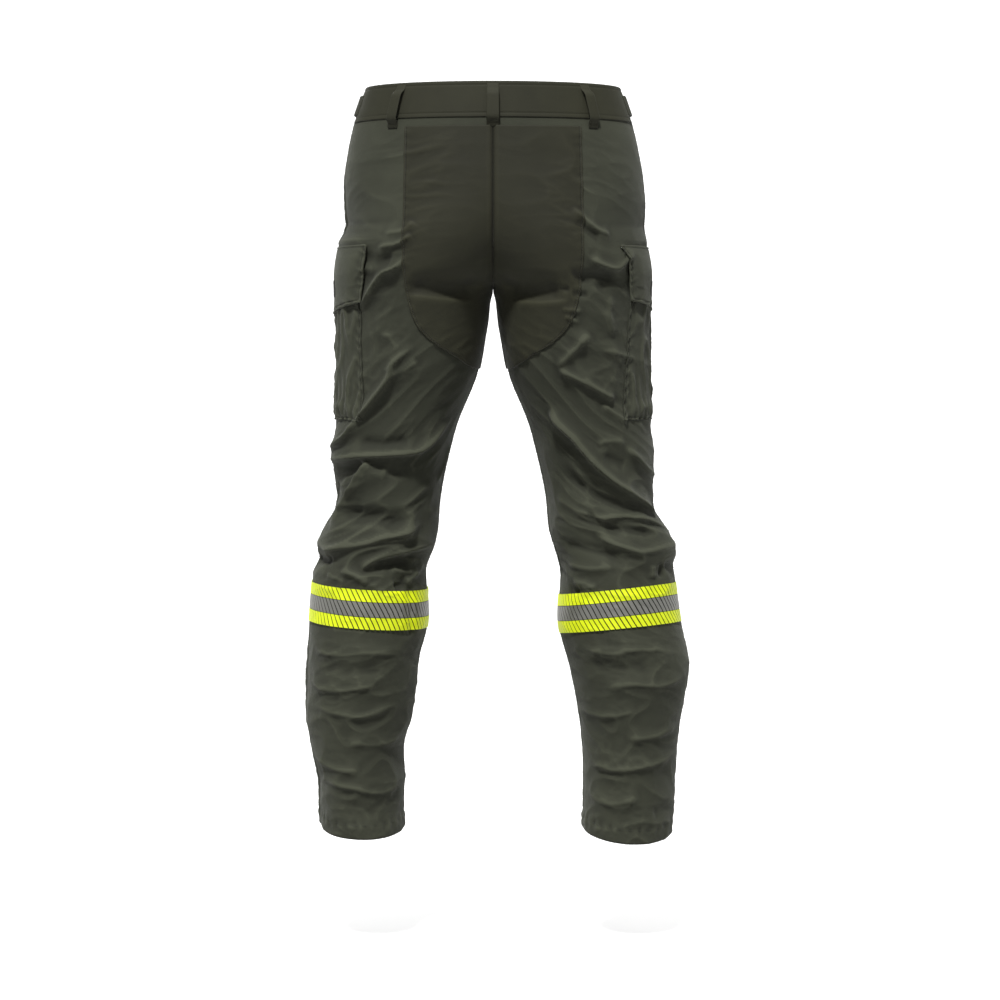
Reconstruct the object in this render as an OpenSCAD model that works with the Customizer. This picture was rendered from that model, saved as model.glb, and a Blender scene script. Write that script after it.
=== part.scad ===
// Rear-seat-patched fire trousers, standing open as if worn: front -Y, wearer's left +X.
// The origin is the middle of the waist opening's top edge. Millimetres.

/* [Trousers] */
// Height from the crotch up to the waist's top edge
rise = 262; // [250:1:290]
// Worn length from the crotch down to the hem
leg_length = 718; // [690:1:760]
// Height from the crotch down to the knee's axis
knee_drop = 314; // [300:1:330]
// Width of the waist opening
waist_width = 330; // [310:5:370]
// Front to back size of the waist opening
waist_depth = 224; // [210:2:250]
// Front to back size at the seat
seat_depth = 266; // [255:1:275]
// Distance from the centre plane to each leg's middle at the hem
stance = 173; // [165:1:180]
// Thickness of the shell cloth as modelled
cloth = 2.5; // [2:0.1:3]
// Space between two layers of cloth that lie on each other
ply_gap = 0.8; // [0.7:0.1:1]

/* [Waist] */
// Height of the waistband
band_h = 45; // [40:1:50]
// Space under each belt loop, which takes the belt's thickness
belt_space = 8; // [7:0.5:9]
// Height of the fly below the waistband
fly_h = 140; // [130:1:145]
// How far the zip slider can run
zip_travel = 108; // [100:1:112]

/* [Pockets] */
// Height of each cargo pocket's flap
flap_h = 76; // [70:1:82]
// Height of each cargo pocket's body
pocket_h = 216; // [200:1:220]
// Space inside each cargo pocket
pocket_space = 7; // [6:0.5:8]

/* [Knees and bands] */
// Largest bend of each knee, in degrees
knee_bend = 60; // [40:1:60]
// Thickness of the foam knee pad
pad_t = 6; // [4:0.5:6]
// Height of each yellow strip
yellow_h = 16; // [15:0.5:18]
// Height of the silver strip between them
silver_h = 19; // [17:0.5:21]

/* [Hidden] */

crotch_z = -rise;
knee_z = crotch_z - knee_drop;
hem_z = crotch_z - leg_length;
// The cloth behind each knee is cut back by half this angle above and below the axis
fold_angle = knee_bend + 2;
seat_r = seat_depth / 2;

olive = [0.24, 0.25, 0.2];
trim_olive = [0.2, 0.21, 0.17];
yellow = [0.83, 0.98, 0.1];
silver = [0.6, 0.6, 0.6];
brass = [0.55, 0.48, 0.3];
black = [0.08, 0.08, 0.08];

// The left half's sections, from the waist down: height, middle x, middle y, half width, half
// depth. Above the crotch the ellipse is cut off at the centre plane.
stations = [
    [0, 0, 0, waist_width / 2, waist_depth / 2],
    [-0.23 * rise, 8, 4, waist_width / 2 + 11, waist_depth / 2 + 8],
    [-0.5 * rise, 30, 8, waist_width / 2 + 1, seat_r - 4],
    [-0.73 * rise, 60, 10, 138, seat_r],
    [-0.9 * rise, 85, 9, 111.5, seat_r - 5],
    [crotch_z, 98.5, 7, 97, seat_r - 13],
    [crotch_z - 48, 102.5, 4, 92.5, 112],
    [crotch_z - 111, 109, 2, 87, 103],
    [crotch_z - 170, 121.5, 0, 75.5, 95],
    [crotch_z - 210, 131, -1, 74, 90],
    [knee_z + 45, 137, -2, 68, 86],
    [knee_z, 149, -2, 75, 86],
    [knee_z - 53, 161, 2, 73, 85],
    [knee_z - 124, 164, 6, 77, 86],
    [knee_z - 190, 177, 8, 73, 84],
    [knee_z - 289, 178, 6, 60, 76],
    [hem_z, stance, 4, 56, 72]];

// Which pair of stations a height lies between
function span(z, i = 0) = i >= len(stations) - 2 || z >= stations[i + 1][0] ? i : span(z, i + 1);
function slope(i) = let(a = max(i - 1, 0), b = min(i + 1, len(stations) - 1))
    (stations[b] - stations[a]) / (stations[b][0] - stations[a][0]);
// A smooth section at any height: [z, middle x, middle y, half width, half depth]
function section(z) = let(i = span(z), p = stations[i], q = stations[i + 1], h = q[0] - p[0],
        u = (z - p[0]) / h)
    (2 * u^3 - 3 * u^2 + 1) * p + (u^3 - 2 * u^2 + u) * h * slope(i)
    + (3 * u^2 - 2 * u^3) * q + (u^3 - u^2) * h * slope(i + 1);

// A point on the left half. around is -180 at the front centre seam or inseam, -90 in front,
// 0 at the outer side, 90 behind and 180 at the back centre seam or inseam; off is outwards.
function point(around, z, off) = let(s = section(z), a = s[3] + off, b = s[4] + off,
        reach = s[1] >= a ? 180 : acos(-s[1] / a), angle = around / 180 * reach)
    [s[1] + a * cos(angle), s[2] + b * sin(angle), z];

function smooth(x) = let(u = min(max(x, 0), 1)) u * u * (3 - 2 * u);
function mix(a, b, u) = a + (b - a) * u;
// The point a share u of the way along a list of points
function along(list, u) = let(k = min(floor(u * (len(list) - 1)), len(list) - 2))
    mix(list[k], list[k + 1], u * (len(list) - 1) - k);
function quad(a, b, c, d) = [[a, b, c], [a, c, d]];
function flat(lists) = [for (l = lists) each l];

// A closed sheet from its outer and inner grids of points, n rows by m columns of cells
module grid_solid(outer, inner, n, m) {
    w = m + 1;
    base = (n + 1) * w;
    faces = flat([
        for (i = [0:n - 1]) for (j = [0:m - 1]) let(k = i * w + j)
            flat([quad(k, k + 1, k + w + 1, k + w),
                quad(base + k, base + k + w, base + k + w + 1, base + k + 1)]),
        for (j = [0:m - 1]) let(k = n * w + j)
            flat([quad(base + j, base + j + 1, j + 1, j),
                quad(k, k + 1, base + k + 1, base + k)]),
        for (i = [0:n - 1]) let(k = i * w, e = i * w + m)
            flat([quad(k, k + w, base + k + w, base + k),
                quad(e + w, e, base + e, base + e + w)])]);
    polyhedron(concat(outer, inner), faces);
}

// How far the knee's fold reaches above or below its axis
function fold_reach(around) = around <= 0 ? 0
    : section(knee_z)[4] * sin(around) * tan(fold_angle / 2);
// Moves the rows near the knee away from the fold: cut is 1 above the knee, -1 below, 0 elsewhere
function clear_fold(around, z, cut) = z + cut * fold_reach(around)
    * smooth(1 - abs(z - knee_z) / 150);

// A sheet on the left half between two side edges, lists of [around, z]. It lies from off_in to
// off_out, stands bulge further out in its middle, and dips to the cloth by dip at its first row.
module sheet(edge_a, edge_b, off_in, off_out, n, m, cut = 0, bulge = 0, dip = 0) {
    function spot(i, j, off) = let(p = mix(along(edge_a, i / n), along(edge_b, i / n), j / m),
            across = min(j, m - j) / m, down = min(i, n - i) / n,
            lift = bulge * smooth(across / 0.2) * smooth(down / 0.2)
                - dip * (1 - smooth(i / n / 0.14)))
        point(p[0], clear_fold(p[0], p[1], cut), off + lift);
    grid_solid([for (i = [0:n]) for (j = [0:m]) spot(i, j, off_out)],
        [for (i = [0:n]) for (j = [0:m]) spot(i, j, off_in)], n, m);
}

// A sheet with straight sides at two places around the leg, and level ends
module patch(around_a, around_b, top, bottom, off_in, off_out, n, m, dip = 0, bulge = 0) {
    sheet([[around_a, top], [around_a, bottom]], [[around_b, top], [around_b, bottom]],
        off_in, off_out, n, m, bulge = bulge, dip = dip);
}

// A closed ring round the left leg, higher on its outer side by tilt
module ring(top, bottom, off_in, off_out, tilt = 0, m = 36) {
    function spot(z, j, off) = let(around = j * 360 / m - 180)
        point(around, z + tilt * cos(around), off);
    rows = [for (p = [[top, off_out], [bottom, off_out], [bottom, off_in], [top, off_in]])
        for (j = [0:m - 1]) spot(p[0], j, p[1])];
    polyhedron(rows, flat([for (r = [0:3]) for (j = [0:m - 1])
        let(e = (j + 1) % m, s = (r + 1) % 4) quad(r * m + j, r * m + e, s * m + e, s * m + j)]));
}

module mirrored(right) {
    mirror([right ? 1 : 0, 0, 0]) children();
}

// ---- shell panels ----

fly_top = -band_h;
fly_bottom = fly_top - fly_h;
// The front panels leave this much of their width open for the zip
zip_edge = -173;
// The hand pocket's mouth is cut into the front panel, beside the outer seam
mouth_top = fly_top - 22;
mouth_bottom = mouth_top - 112;
mouth_edge = -10;

// Heights of the rows that the thigh panels share, so that their seams meet
thigh_rows = concat([for (i = [0:7]) mix(fly_top, crotch_z - 24, i / 7)],
    [for (i = [1:8]) mix(crotch_z - 24, knee_z + 0.5, i / 8)]);
shin_rows = [for (i = [0:9]) mix(knee_z - 0.5, hem_z + 2, i / 9)];

// A thigh panel is drawn in lengths a hair apart, each nearly straight along its outer seam. They
// part at these rows: in the pocket's mouth, below the crotch and under the cargo pocket
thigh_breaks = [0, 2, 7, 11, 15];
hair = 0.05;

function edge(around, rows) = [for (z = rows) [around, z]];
function length_of(edge, first, last) = [for (k = [first:last])
    [edge[k][0], edge[k][1] + (k == first ? -hair : k == last ? hair : 0)]];

module thigh(edge_a, edge_b, cut = 0) {
    for (k = [1:len(thigh_breaks) - 1]) {
        first = thigh_breaks[k - 1];
        last = thigh_breaks[k];
        sheet(length_of(edge_a, first, last), length_of(edge_b, first, last), -cloth, 0,
            last - first, 18, cut = cut);
    }
}

module front_thigh(right) {
    centre = [for (z = thigh_rows) [z > fly_bottom - 5 ? zip_edge : -180, z]];
    outer = [for (z = thigh_rows) [z < mouth_top + 8 && z > mouth_bottom - 8 ? mouth_edge : 0, z]];
    mirrored(right) color(olive) thigh(centre, outer);
}

module back_thigh(right) {
    mirrored(right) color(olive) thigh(edge(0, thigh_rows), edge(180, thigh_rows), cut = 1);
}

module front_shin(right) {
    mirrored(right) color(olive)
        sheet(edge(-180, shin_rows), edge(0, shin_rows), -cloth, 0, len(shin_rows) - 1, 18);
}

module back_shin(right) {
    mirrored(right) color(olive)
        sheet(edge(0, shin_rows), edge(180, shin_rows), -cloth, 0, len(shin_rows) - 1, 18,
            cut = -1);
}

// The stretch of the back panel that gathers when the knee bends
module back_knee_fold(right) {
    n = 4;
    m = 18;
    function spot(i, j, off) = let(around = mix(4, 176, j / m),
            z = knee_z + (fold_reach(around) - ply_gap) * (1 - 2 * i / n))
        point(around, z, off);
    mirrored(right) color(olive)
        grid_solid([for (i = [0:n]) for (j = [0:m]) spot(i, j, 0)],
            [for (i = [0:n]) for (j = [0:m]) spot(i, j, -cloth)], n, m);
}

// The seat patch's outline seen from behind: distance from the centre seam, and height
seat_outline = [[0, fly_top - 14], [113, fly_top - 14], [114, -130], [115, -200], [114, -250],
    [108, -283], [98, -310], [80, -330], [56, -346], [25, -366], [0, -372]];

module seat_patch(right) {
    mirrored(right) color(trim_olive) intersection() {
        sheet(edge(0, thigh_rows), edge(180, thigh_rows), ply_gap, ply_gap + cloth - 0.5,
            len(thigh_rows) - 1, 18, cut = 1);
        translate([0, seat_r + 40, 0]) rotate([90, 0, 0]) linear_extrude(seat_r + 35)
            polygon(seat_outline);
    }
}

// The knee patch and pad stand this far off, so that the lower leg can turn under them
knee_gap = 3.8 * ply_gap;

module knee_patch(right) {
    mirrored(right) color(trim_olive)
        patch(-140, -40, knee_z + 125, knee_z - 66, knee_gap, knee_gap + 2, 10, 10,
            bulge = pad_t + 2);
}

module knee_pad(right) {
    mirrored(right) color(black)
        patch(-120, -60, knee_z + 82, knee_z - 30, knee_gap, knee_gap + pad_t, 7, 6);
}

module hem_facing(right) {
    mirrored(right) color(trim_olive)
        ring(hem_z + 25, hem_z, -2 * cloth - ply_gap, -cloth - ply_gap);
}

// ---- waist ----

module waistband() {
    for (right = [false, true])
        mirrored(right) color(trim_olive)
            patch(-174, 180, 0, fly_top + 0.6, -cloth - 1.5, 0, 2, 34);
}

belt_loop_top = -2;
belt_loop_bottom = fly_top - 13;

// A belt loop: a strip bent back to the cloth and sewn down at both ends. Each place it runs
// through is [around, side], side being 1 on the left half and -1 on the right.
module belt_loop(places) {
    sewn = 5;
    out = ply_gap + belt_space;
    middle = (belt_loop_top + belt_loop_bottom) / 2;
    outer = [[belt_loop_top, ply_gap], [belt_loop_top, out + 2], [middle, out + 2],
        [belt_loop_bottom, out + 2], [belt_loop_bottom, ply_gap]];
    inner = [[belt_loop_top - sewn, ply_gap], [belt_loop_top - sewn, out], [middle, out],
        [belt_loop_bottom + sewn, out], [belt_loop_bottom + sewn, ply_gap]];
    function spots(line) = [for (p = line) for (s = places) let(q = point(s[0], p[0], p[1]))
        [s[1] * q[0], q[1], q[2]]];
    color(trim_olive)
        grid_solid(spots(outer), spots(inner), len(outer) - 1, len(places) - 1);
}

module side_belt_loops(right) {
    mirrored(right) {
        belt_loop([[-96, 1], [-91, 1], [-86, 1]]);
        belt_loop([[86, 1], [91, 1], [96, 1]]);
    }
}

module back_belt_loop() {
    belt_loop([[174, 1], [180, 1], [174, -1]]);
}

tab_top = -8;
tab_bottom = -38;
tab_off = 3.4;
// Where the waist tab is sewn on, and where it ends on the other side
tab_root = -167;
tab_tip = -140;

module waist_tab() {
    color(trim_olive) patch(-180, tab_root, tab_top, tab_bottom, tab_off, tab_off + 2, 2, 2);
    mirrored(true) color(trim_olive)
        patch(-180, tab_tip, tab_top, tab_bottom, tab_off, tab_off + 2, 2, 6);
}

snap_z = (tab_top + tab_bottom) / 2;
snap_place = point(-147, snap_z, 0);
snap_turn = atan2(snap_place[1] - section(snap_z)[2], snap_place[0] - section(snap_z)[1]);

// Puts a fastener on the waistband's right side, its axis +X pointing out of the cloth
module at_snap() {
    mirrored(true) translate(snap_place) rotate([0, 0, snap_turn - 12]) children();
}

module snap_stud() {
    color(brass) at_snap() {
        translate([0.5, 0, 0]) rotate([0, 90, 0]) cylinder(h = 0.8, r = 5, $fn = 48);
        translate([1.3, 0, 0]) rotate([0, 90, 0]) cylinder(h = 1.4, r = 2, $fn = 48);
    }
}

module snap_cap() {
    cap_base = tab_off + 2.8;
    color(brass) at_snap() {
        translate([cap_base, 0, 0]) rotate([0, 90, 0]) cylinder(h = 1.2, r = 7.5, $fn = 64);
        translate([cap_base + 1.2, 0, 0]) rotate([0, 90, 0])
            cylinder(h = 0.8, r1 = 7.5, r2 = 5.5, $fn = 64);
        difference() {
            translate([1.6, 0, 0]) rotate([0, 90, 0]) cylinder(h = 1.2, r = 5.5, $fn = 48);
            translate([1, 0, 0]) rotate([0, 90, 0]) cylinder(h = 1.9, r = 2.5, $fn = 48);
        }
    }
}

adjuster_off = 3.4;
module waist_adjuster(right) {
    mirrored(right) color(trim_olive)
        patch(-44, 20, -10, -36, adjuster_off, adjuster_off + 2, 2, 8, dip = 0);
}

module adjuster_hook_patch(right) {
    mirrored(right) color(black) patch(-42, -20, -13, -33, 2.2, 3.1, 1, 4);
}

module adjuster_loop_patch(right) {
    mirrored(right) color(black) patch(-42, 2, -13, -33, 0.7, 1.7, 1, 6);
}

// ---- fly ----

zip_y = -107;
zip_top = fly_top + 1;
slider_top = zip_top - 4;
slider_h = 11;
// The zip's lower end leaves room for its stop below the slider's lowest place
zip_bottom = slider_top - slider_h - zip_travel - 8;

module fly_flap() {
    color(olive) patch(-180, -165, fly_top - 3, fly_bottom - 4, ply_gap, ply_gap + 2, 6, 2);
    mirrored(true) color(olive)
        patch(-180, -166, fly_top - 3, fly_bottom - 4, ply_gap, ply_gap + 2, 6, 2);
}

module fly_guard() {
    color(trim_olive) translate([-19, zip_y + 6, zip_bottom - 4])
        cube([38, 1.5, zip_top - zip_bottom + 4]);
}

module zip_tapes() {
    for (s = [-1, 1]) color(black) translate([s * 8 - 6, zip_y + 0.6, zip_bottom])
        cube([12, 0.8, zip_top - zip_bottom]);
}

zip_pitch = 3;

// Teeth of both sides, closed below the slider; the slider's own stretch is left free
module zip_teeth() {
    count = floor((slider_top - slider_h - zip_bottom - 6) / zip_pitch);
    color(brass) {
        for (i = [0:count]) {
            z = zip_bottom + 5 + i * zip_pitch;
            translate([-3.6, zip_y - 1.2, z]) cube([3.5, 1.6, 1.2]);
            translate([0.1, zip_y - 1.2, z + zip_pitch / 2]) cube([3.5, 1.6, 1.2]);
        }
        translate([-4, zip_y - 1.6, zip_bottom]) cube([8, 2, 3.5]);
    }
}

module zip_slider() {
    color(brass) translate([0, 0, slider_top - slider_h]) {
        difference() {
            translate([-5.5, zip_y - 2.9, 0]) cube([11, 3.3, slider_h]);
            translate([-4, zip_y - 1.5, -1]) cube([8, 1.8 + 0.2, slider_h + 2]);
        }
        difference() {
            translate([-2, zip_y - 5.4, 3]) cube([4, 2.6, 6.5]);
            translate([-3, zip_y - 4.1, 6]) rotate([0, 90, 0]) cylinder(h = 6, r = 0.8, $fn = 32);
        }
    }
}

pull_z = slider_top - slider_h + 6;
pull_y = zip_y - 4.1;

module zip_puller() {
    color(brass) {
        translate([-3.2, pull_y, pull_z]) rotate([0, 90, 0]) cylinder(h = 6.4, r = 0.7, $fn = 32);
        for (s = [-1, 1]) translate([s * 2.7 - 0.5, pull_y - 0.7, pull_z - 7])
            cube([1, 1.4, 7.4]);
        translate([0, pull_y + 0.7, 0]) rotate([90, 0, 0]) linear_extrude(1.4) difference() {
            hull() {
                translate([-3.2, pull_z - 8]) square([6.4, 1.5]);
                translate([0, pull_z - 26]) circle(r = 4, $fn = 48);
            }
            translate([0, pull_z - 26]) circle(r = 2, $fn = 48);
        }
    }
}

// ---- pockets ----

// The hand pocket's bag hangs inside the front panel; its mouth is beside the outer seam
module hand_pocket(right) {
    outside = -cloth - 1.3 * ply_gap;
    inside = outside - 11;
    mirrored(right) color(trim_olive) difference() {
        patch(-72, 3, mouth_top + 5, mouth_bottom - 60, inside, outside, 8, 9);
        patch(-70, 1, mouth_top + 3, mouth_bottom - 57, inside + 1.4, outside - 1.4, 8, 9);
        patch(mouth_edge + 0.5, -0.5, mouth_top - 2, mouth_bottom + 2, outside - 3, outside + 2, 6, 1);
    }
}

pocket_top = crotch_z + 43;
pocket_bottom = pocket_top - pocket_h;
pocket_around = 52;
pocket_out = ply_gap + pocket_space;

module cargo_pocket(right) {
    wall = 2;
    mirrored(right) color(olive) difference() {
        patch(-pocket_around, pocket_around, pocket_top, pocket_bottom, ply_gap,
            pocket_out + wall, 8, 12);
        patch(3 - pocket_around, pocket_around - 3, pocket_top + 5, pocket_bottom + 3,
            ply_gap - 2, pocket_out, 8, 12);
    }
}

flap_top = pocket_top + 15;
flap_bottom = flap_top - flap_h;
flap_off = pocket_out + 6;

module cargo_flap(right) {
    mirrored(right) color(olive)
        patch(-pocket_around - 2, pocket_around + 2, flap_top, flap_bottom, flap_off,
            flap_off + 2, 7, 12, dip = 10);
}

module flap_hook_patch(right) {
    mirrored(right) color(black)
        patch(-15, 15, flap_bottom + 30, flap_bottom + 6, flap_off - 1.5, flap_off - 0.6, 1, 4);
}

module pocket_loop_patch(right) {
    mirrored(right) color(black)
        patch(-15, 15, flap_bottom + 30, flap_bottom + 6, pocket_out + 2.6, pocket_out + 3.4, 1, 4);
}

// ---- high-visibility bands ----

band_top = knee_z - 74;
band_tilt = 6;
strip_gap = 0.5;
strip_t = 1.2;
strip_off = 1.1;

module strip(right, drop, h, colour) {
    mirrored(right) color(colour)
        ring(band_top - drop, band_top - drop - h, strip_off, strip_off + strip_t,
            band_tilt);
}

silver_drop = yellow_h + strip_gap;
lower_drop = silver_drop + silver_h + strip_gap;

waistband();
front_thigh(false);  // left_front_thigh_panel
front_thigh(true);  // right_front_thigh_panel
back_thigh(false);  // left_back_thigh_panel
back_thigh(true);  // right_back_thigh_panel
front_shin(false);  // left_front_shin_panel
front_shin(true);  // right_front_shin_panel
back_shin(false);  // left_back_shin_panel
back_shin(true);  // right_back_shin_panel
back_knee_fold(false);  // left_back_knee_fold
back_knee_fold(true);  // right_back_knee_fold
seat_patch(false);  // left_seat_patch
seat_patch(true);  // right_seat_patch
fly_flap();
fly_guard();
zip_tapes();
zip_teeth();
zip_slider();
zip_puller();
waist_tab();
snap_cap();  // waist_snap_cap
snap_stud();  // waist_snap_stud
side_belt_loops(false);  // left_belt_loops
side_belt_loops(true);  // right_belt_loops
back_belt_loop();
waist_adjuster(false);  // left_waist_adjuster
waist_adjuster(true);  // right_waist_adjuster
adjuster_hook_patch(false);  // left_adjuster_hook_patch
adjuster_hook_patch(true);  // right_adjuster_hook_patch
adjuster_loop_patch(false);  // left_adjuster_loop_patch
adjuster_loop_patch(true);  // right_adjuster_loop_patch
hand_pocket(false);  // left_hand_pocket
hand_pocket(true);  // right_hand_pocket
cargo_pocket(false);  // left_cargo_pocket
cargo_pocket(true);  // right_cargo_pocket
cargo_flap(false);  // left_cargo_flap
cargo_flap(true);  // right_cargo_flap
flap_hook_patch(false);  // left_flap_hook_patch
flap_hook_patch(true);  // right_flap_hook_patch
pocket_loop_patch(false);  // left_pocket_loop_patch
pocket_loop_patch(true);  // right_pocket_loop_patch
knee_patch(false);  // left_knee_patch
knee_patch(true);  // right_knee_patch
knee_pad(false);  // left_knee_pad
knee_pad(true);  // right_knee_pad
strip(false, 0, yellow_h, yellow);  // left_upper_yellow_strip
strip(true, 0, yellow_h, yellow);  // right_upper_yellow_strip
strip(false, silver_drop, silver_h, silver);  // left_silver_strip
strip(true, silver_drop, silver_h, silver);  // right_silver_strip
strip(false, lower_drop, yellow_h, yellow);  // left_lower_yellow_strip
strip(true, lower_drop, yellow_h, yellow);  // right_lower_yellow_strip
hem_facing(false);  // left_hem_facing
hem_facing(true);  // right_hem_facing
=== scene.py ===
"""Fire trousers as they hang on a standing wearer. The folds, cloth, seams and films are built here
round the CAD frame. Lengths are in millimetres until a mesh is made. Each leg is drawn as a left
leg, outwards being +x, and is mirrored for the right one."""

import math

import bpy
import numpy as np
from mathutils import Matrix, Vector


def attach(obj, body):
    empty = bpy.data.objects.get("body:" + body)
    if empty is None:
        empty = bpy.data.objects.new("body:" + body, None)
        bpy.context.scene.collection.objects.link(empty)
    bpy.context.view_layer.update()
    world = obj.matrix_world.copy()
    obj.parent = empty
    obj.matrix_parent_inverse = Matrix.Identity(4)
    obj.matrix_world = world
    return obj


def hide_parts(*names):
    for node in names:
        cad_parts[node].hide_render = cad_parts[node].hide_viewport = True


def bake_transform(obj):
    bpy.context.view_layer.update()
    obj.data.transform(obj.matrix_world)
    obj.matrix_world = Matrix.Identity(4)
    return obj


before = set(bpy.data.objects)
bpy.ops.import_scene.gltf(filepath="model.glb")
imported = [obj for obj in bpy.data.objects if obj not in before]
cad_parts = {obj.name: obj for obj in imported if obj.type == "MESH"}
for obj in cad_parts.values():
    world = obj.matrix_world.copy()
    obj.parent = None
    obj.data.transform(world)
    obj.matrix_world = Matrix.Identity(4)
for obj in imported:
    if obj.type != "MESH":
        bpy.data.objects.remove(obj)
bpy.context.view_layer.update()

SIDES = {"left": 1, "right": -1}
THICK = 1.3

# ---------------------------------------------------------------- the form under the cloth

BAND_BOTTOM, CROTCH, KNEE, HEM = -44.4, -262, -576, -980
# The knee's cloth turns between these heights: above them it follows the thigh, below them the shin
BEND_X, BEND_TOP, BEND_BOTTOM = 149, KNEE + 87, KNEE - 68
# Where the smooth seat ends and the lower leg's own crumpling starts
SEAT_END, LOWER_LEG = -345, -700
# The hand pocket's mouth, and where the opening for the zip ends
MOUTH_TOP, MOUTH_BOTTOM, OPENING_END = -62, -185, -192.5
BAND_HEIGHT = 50.4

# One leg's sections: height, middle x, middle y, half width, half depth. Above the crotch the
# ellipse stops at the centre plane.
STATIONS = np.array([
    [0, 0, 0, 165, 112], [-60.3, 8, 4, 176, 120], [-131, 30, 8, 166, 129],
    [-191.3, 60, 10, 138, 133], [-235.8, 85, 9, 111.5, 128], [-262, 98.5, 7, 97, 120],
    [-310, 102.5, 4, 92.5, 112], [-373, 109, 2, 87, 103], [-432, 121.5, 0, 75.5, 95],
    [-472, 131, -1, 74, 90], [-531, 137, -2, 68, 86], [-576, 149, -2, 75, 86],
    [-629, 161, 2, 73, 85], [-700, 164, 6, 77, 86], [-766, 177, 8, 73, 84],
    [-865, 178, 6, 60, 76], [-980, 173, 4, 56, 72]])


def smooth(x):
    """0 below 0 and 1 above 1, with an even rise between."""
    u = np.clip(x, 0.0, 1.0)
    return u * u * (3 - 2 * u)


def groove(dist, width=0.9):
    """1 along a line, falling away on both sides."""
    return np.exp(-(dist / width) ** 2)


def section(z):
    """Middle x, middle y, half width and half depth at each height."""
    s = STATIONS
    z = np.clip(np.asarray(z, float), s[-1, 0], 0)
    k = np.arange(len(s))
    before, after = s[np.maximum(k - 1, 0)], s[np.minimum(k + 1, len(s) - 1)]
    slope = (after - before) / (after - before)[:, :1]
    i = np.clip(np.searchsorted(-s[:, 0], -z, side="right") - 1, 0, len(s) - 2)
    p, q = s[i], s[i + 1]
    h = q[..., :1] - p[..., :1]
    u = (z[..., None] - p[..., :1]) / h
    rows = ((2 * u**3 - 3 * u**2 + 1) * p + (u**3 - 2 * u**2 + u) * h * slope[i]
            + (3 * u**2 - 2 * u**3) * q + (u**3 - u**2) * h * slope[i + 1])
    return rows[..., 1], rows[..., 2], rows[..., 3], rows[..., 4]


def reach(mx, a):
    """The angle from a section's outer side to the centre plane, or half a turn."""
    return np.where(mx >= a, math.pi, np.arccos(np.clip(-mx / a, -1, 1)))


def unrolled(x, z):
    """Distance round the leg from the middle of its back, outwards, for a point seen from behind.
    Past the outer edge it carries on round to the front."""
    mx, _, a, b = section(z)
    r = (a + b) / 2
    c = (x - mx) / a
    angle = np.arccos(np.clip(c, -1, 1))
    return (math.pi / 2 - angle) * r + np.sign(c) * np.maximum(np.abs(c) - 1, 0) * a


# ---------------------------------------------------------------- folds

# What the tables' sizes are multiplied by: a ridge's height, the widths above and below a crest, and
# the height of the right leg's front folds
RIDGE, ABOVE, BELOW, RIGHT_FRONT = 1.35, 1.1, 1.15, 0.8

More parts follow.
